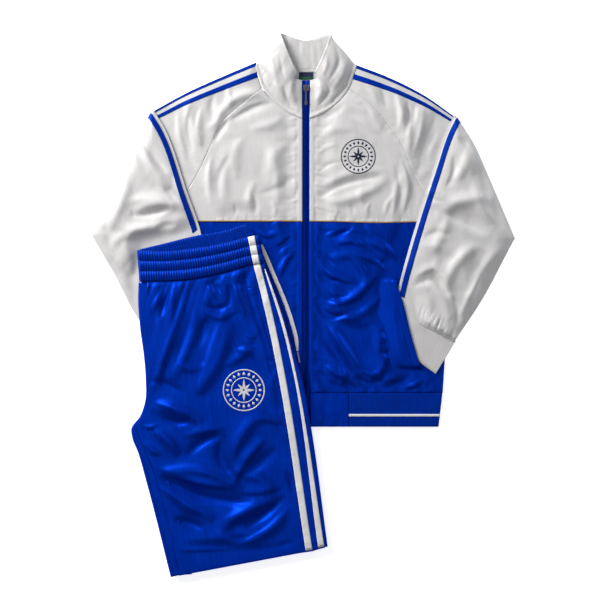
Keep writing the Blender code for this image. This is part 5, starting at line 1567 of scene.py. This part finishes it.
# Softboxes that face the garment's middle. Columns: name, place and side in metres, watts, colour.
LIGHTS = [
    ("key", (-1.9, 1.7, 1.2), 1.3, 92, "#fffdfa"),
    ("rim", (1.9, 1.2, 0.9), 0.8, 9, "#f4f8ff"),
    ("over", (-0.5, -0.4, 2.9), 1.2, 7, "#ffffff"),
]
AMBIENT = 0.13
LENS = 100
SENSOR = 36
# What the picture spans at the floor, in metres.
VIEW_WIDTH = 1.2


def light(name, place, side, power, colour):
    """A square area light that faces the garment's middle."""
    data = bpy.data.lights.new(name, "AREA")
    data.shape = "RECTANGLE"
    data.size = data.size_y = side
    data.energy = power
    data.color = linear(colour)[:3]
    obj = bpy.data.objects.new(name, data)
    obj.location = place
    obj.rotation_euler = (-Vector(place)).to_track_quat("-Z", "Y").to_euler()
    bpy.context.scene.collection.objects.link(obj)


# From the floor's middle to its edges, far past every view, and how far its face lies below the cloth.
FLOOR = 25000.0
FLOOR_Z = -0.6


def studio():
    """A white floor, a soft key light from the picture's upper left and the camera straight above."""
    corners = [(x * FLOOR, y * FLOOR, FLOOR_Z) for x, y in ((-1, -1), (1, -1), (1, 1), (-1, 1))]
    mesh_object("studio_floor", corners, [(0, 1, 2, 3)], FLOOR_PAPER)
    for row in LIGHTS:
        light(*row)
    world = bpy.data.worlds.new("studio")
    bpy.context.scene.world = world
    world.use_nodes = True
    background = world.node_tree.nodes["Background"]
    background.inputs["Color"].default_value = (1, 1, 1, 1)
    background.inputs["Strength"].default_value = AMBIENT
    bpy.context.scene.view_settings.view_transform = "Standard"
    data = bpy.data.cameras.new("camera")
    data.lens, data.sensor_width = LENS, SENSOR
    data.clip_end = 30
    camera = bpy.data.objects.new("camera", data)
    camera.location = (-0.008, 0.010, VIEW_WIDTH * LENS / SENSOR + 0.01)
    bpy.context.scene.collection.objects.link(camera)
    bpy.context.scene.camera = camera


# Matt paper sweep, lit until it reads as a plain white ground.
FLOOR_PAPER, _, _ = new_material(
    "matt white paper", Base_Color=linear("#ffffff"), Roughness=0.9, Emission_Color=linear("#ffffff"),
    Emission_Strength=0.72,
)

back_panels()
for wearer_side in ("left", "right"):
    upper_front(wearer_side)
    lower_front(wearer_side)
    piping(wearer_side)
    sleeve(wearer_side)
    cuff(wearer_side)
collar()
zip_fastener()
hem()
trouser_stack()
trouser_leg()
waistband()
drawstring()
front_topstitch()
emblem("chest_print", (108.6, 297.4), 35.0, lambda x, y: front_middle(x, y) + JERSEY / 2 + 0.1, NAVY_PRINT)
emblem("thigh_print", (-119.8, -169.8), 42.0,
       lambda x, y: leg_middle(x, y) + leg_detail(x, y) + JERSEY / 2 + 0.15, WHITE_PRINT)
# The zip's metal parts and the cord's end keep their solids.
for metal_node in ("zip_slider", "zip_pull", "zip_end_box"):
    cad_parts[metal_node].data.materials[0] = DARK_ZINC
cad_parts["drawstring_aglet"].data.materials[0] = CLEAR_FILM
studio()
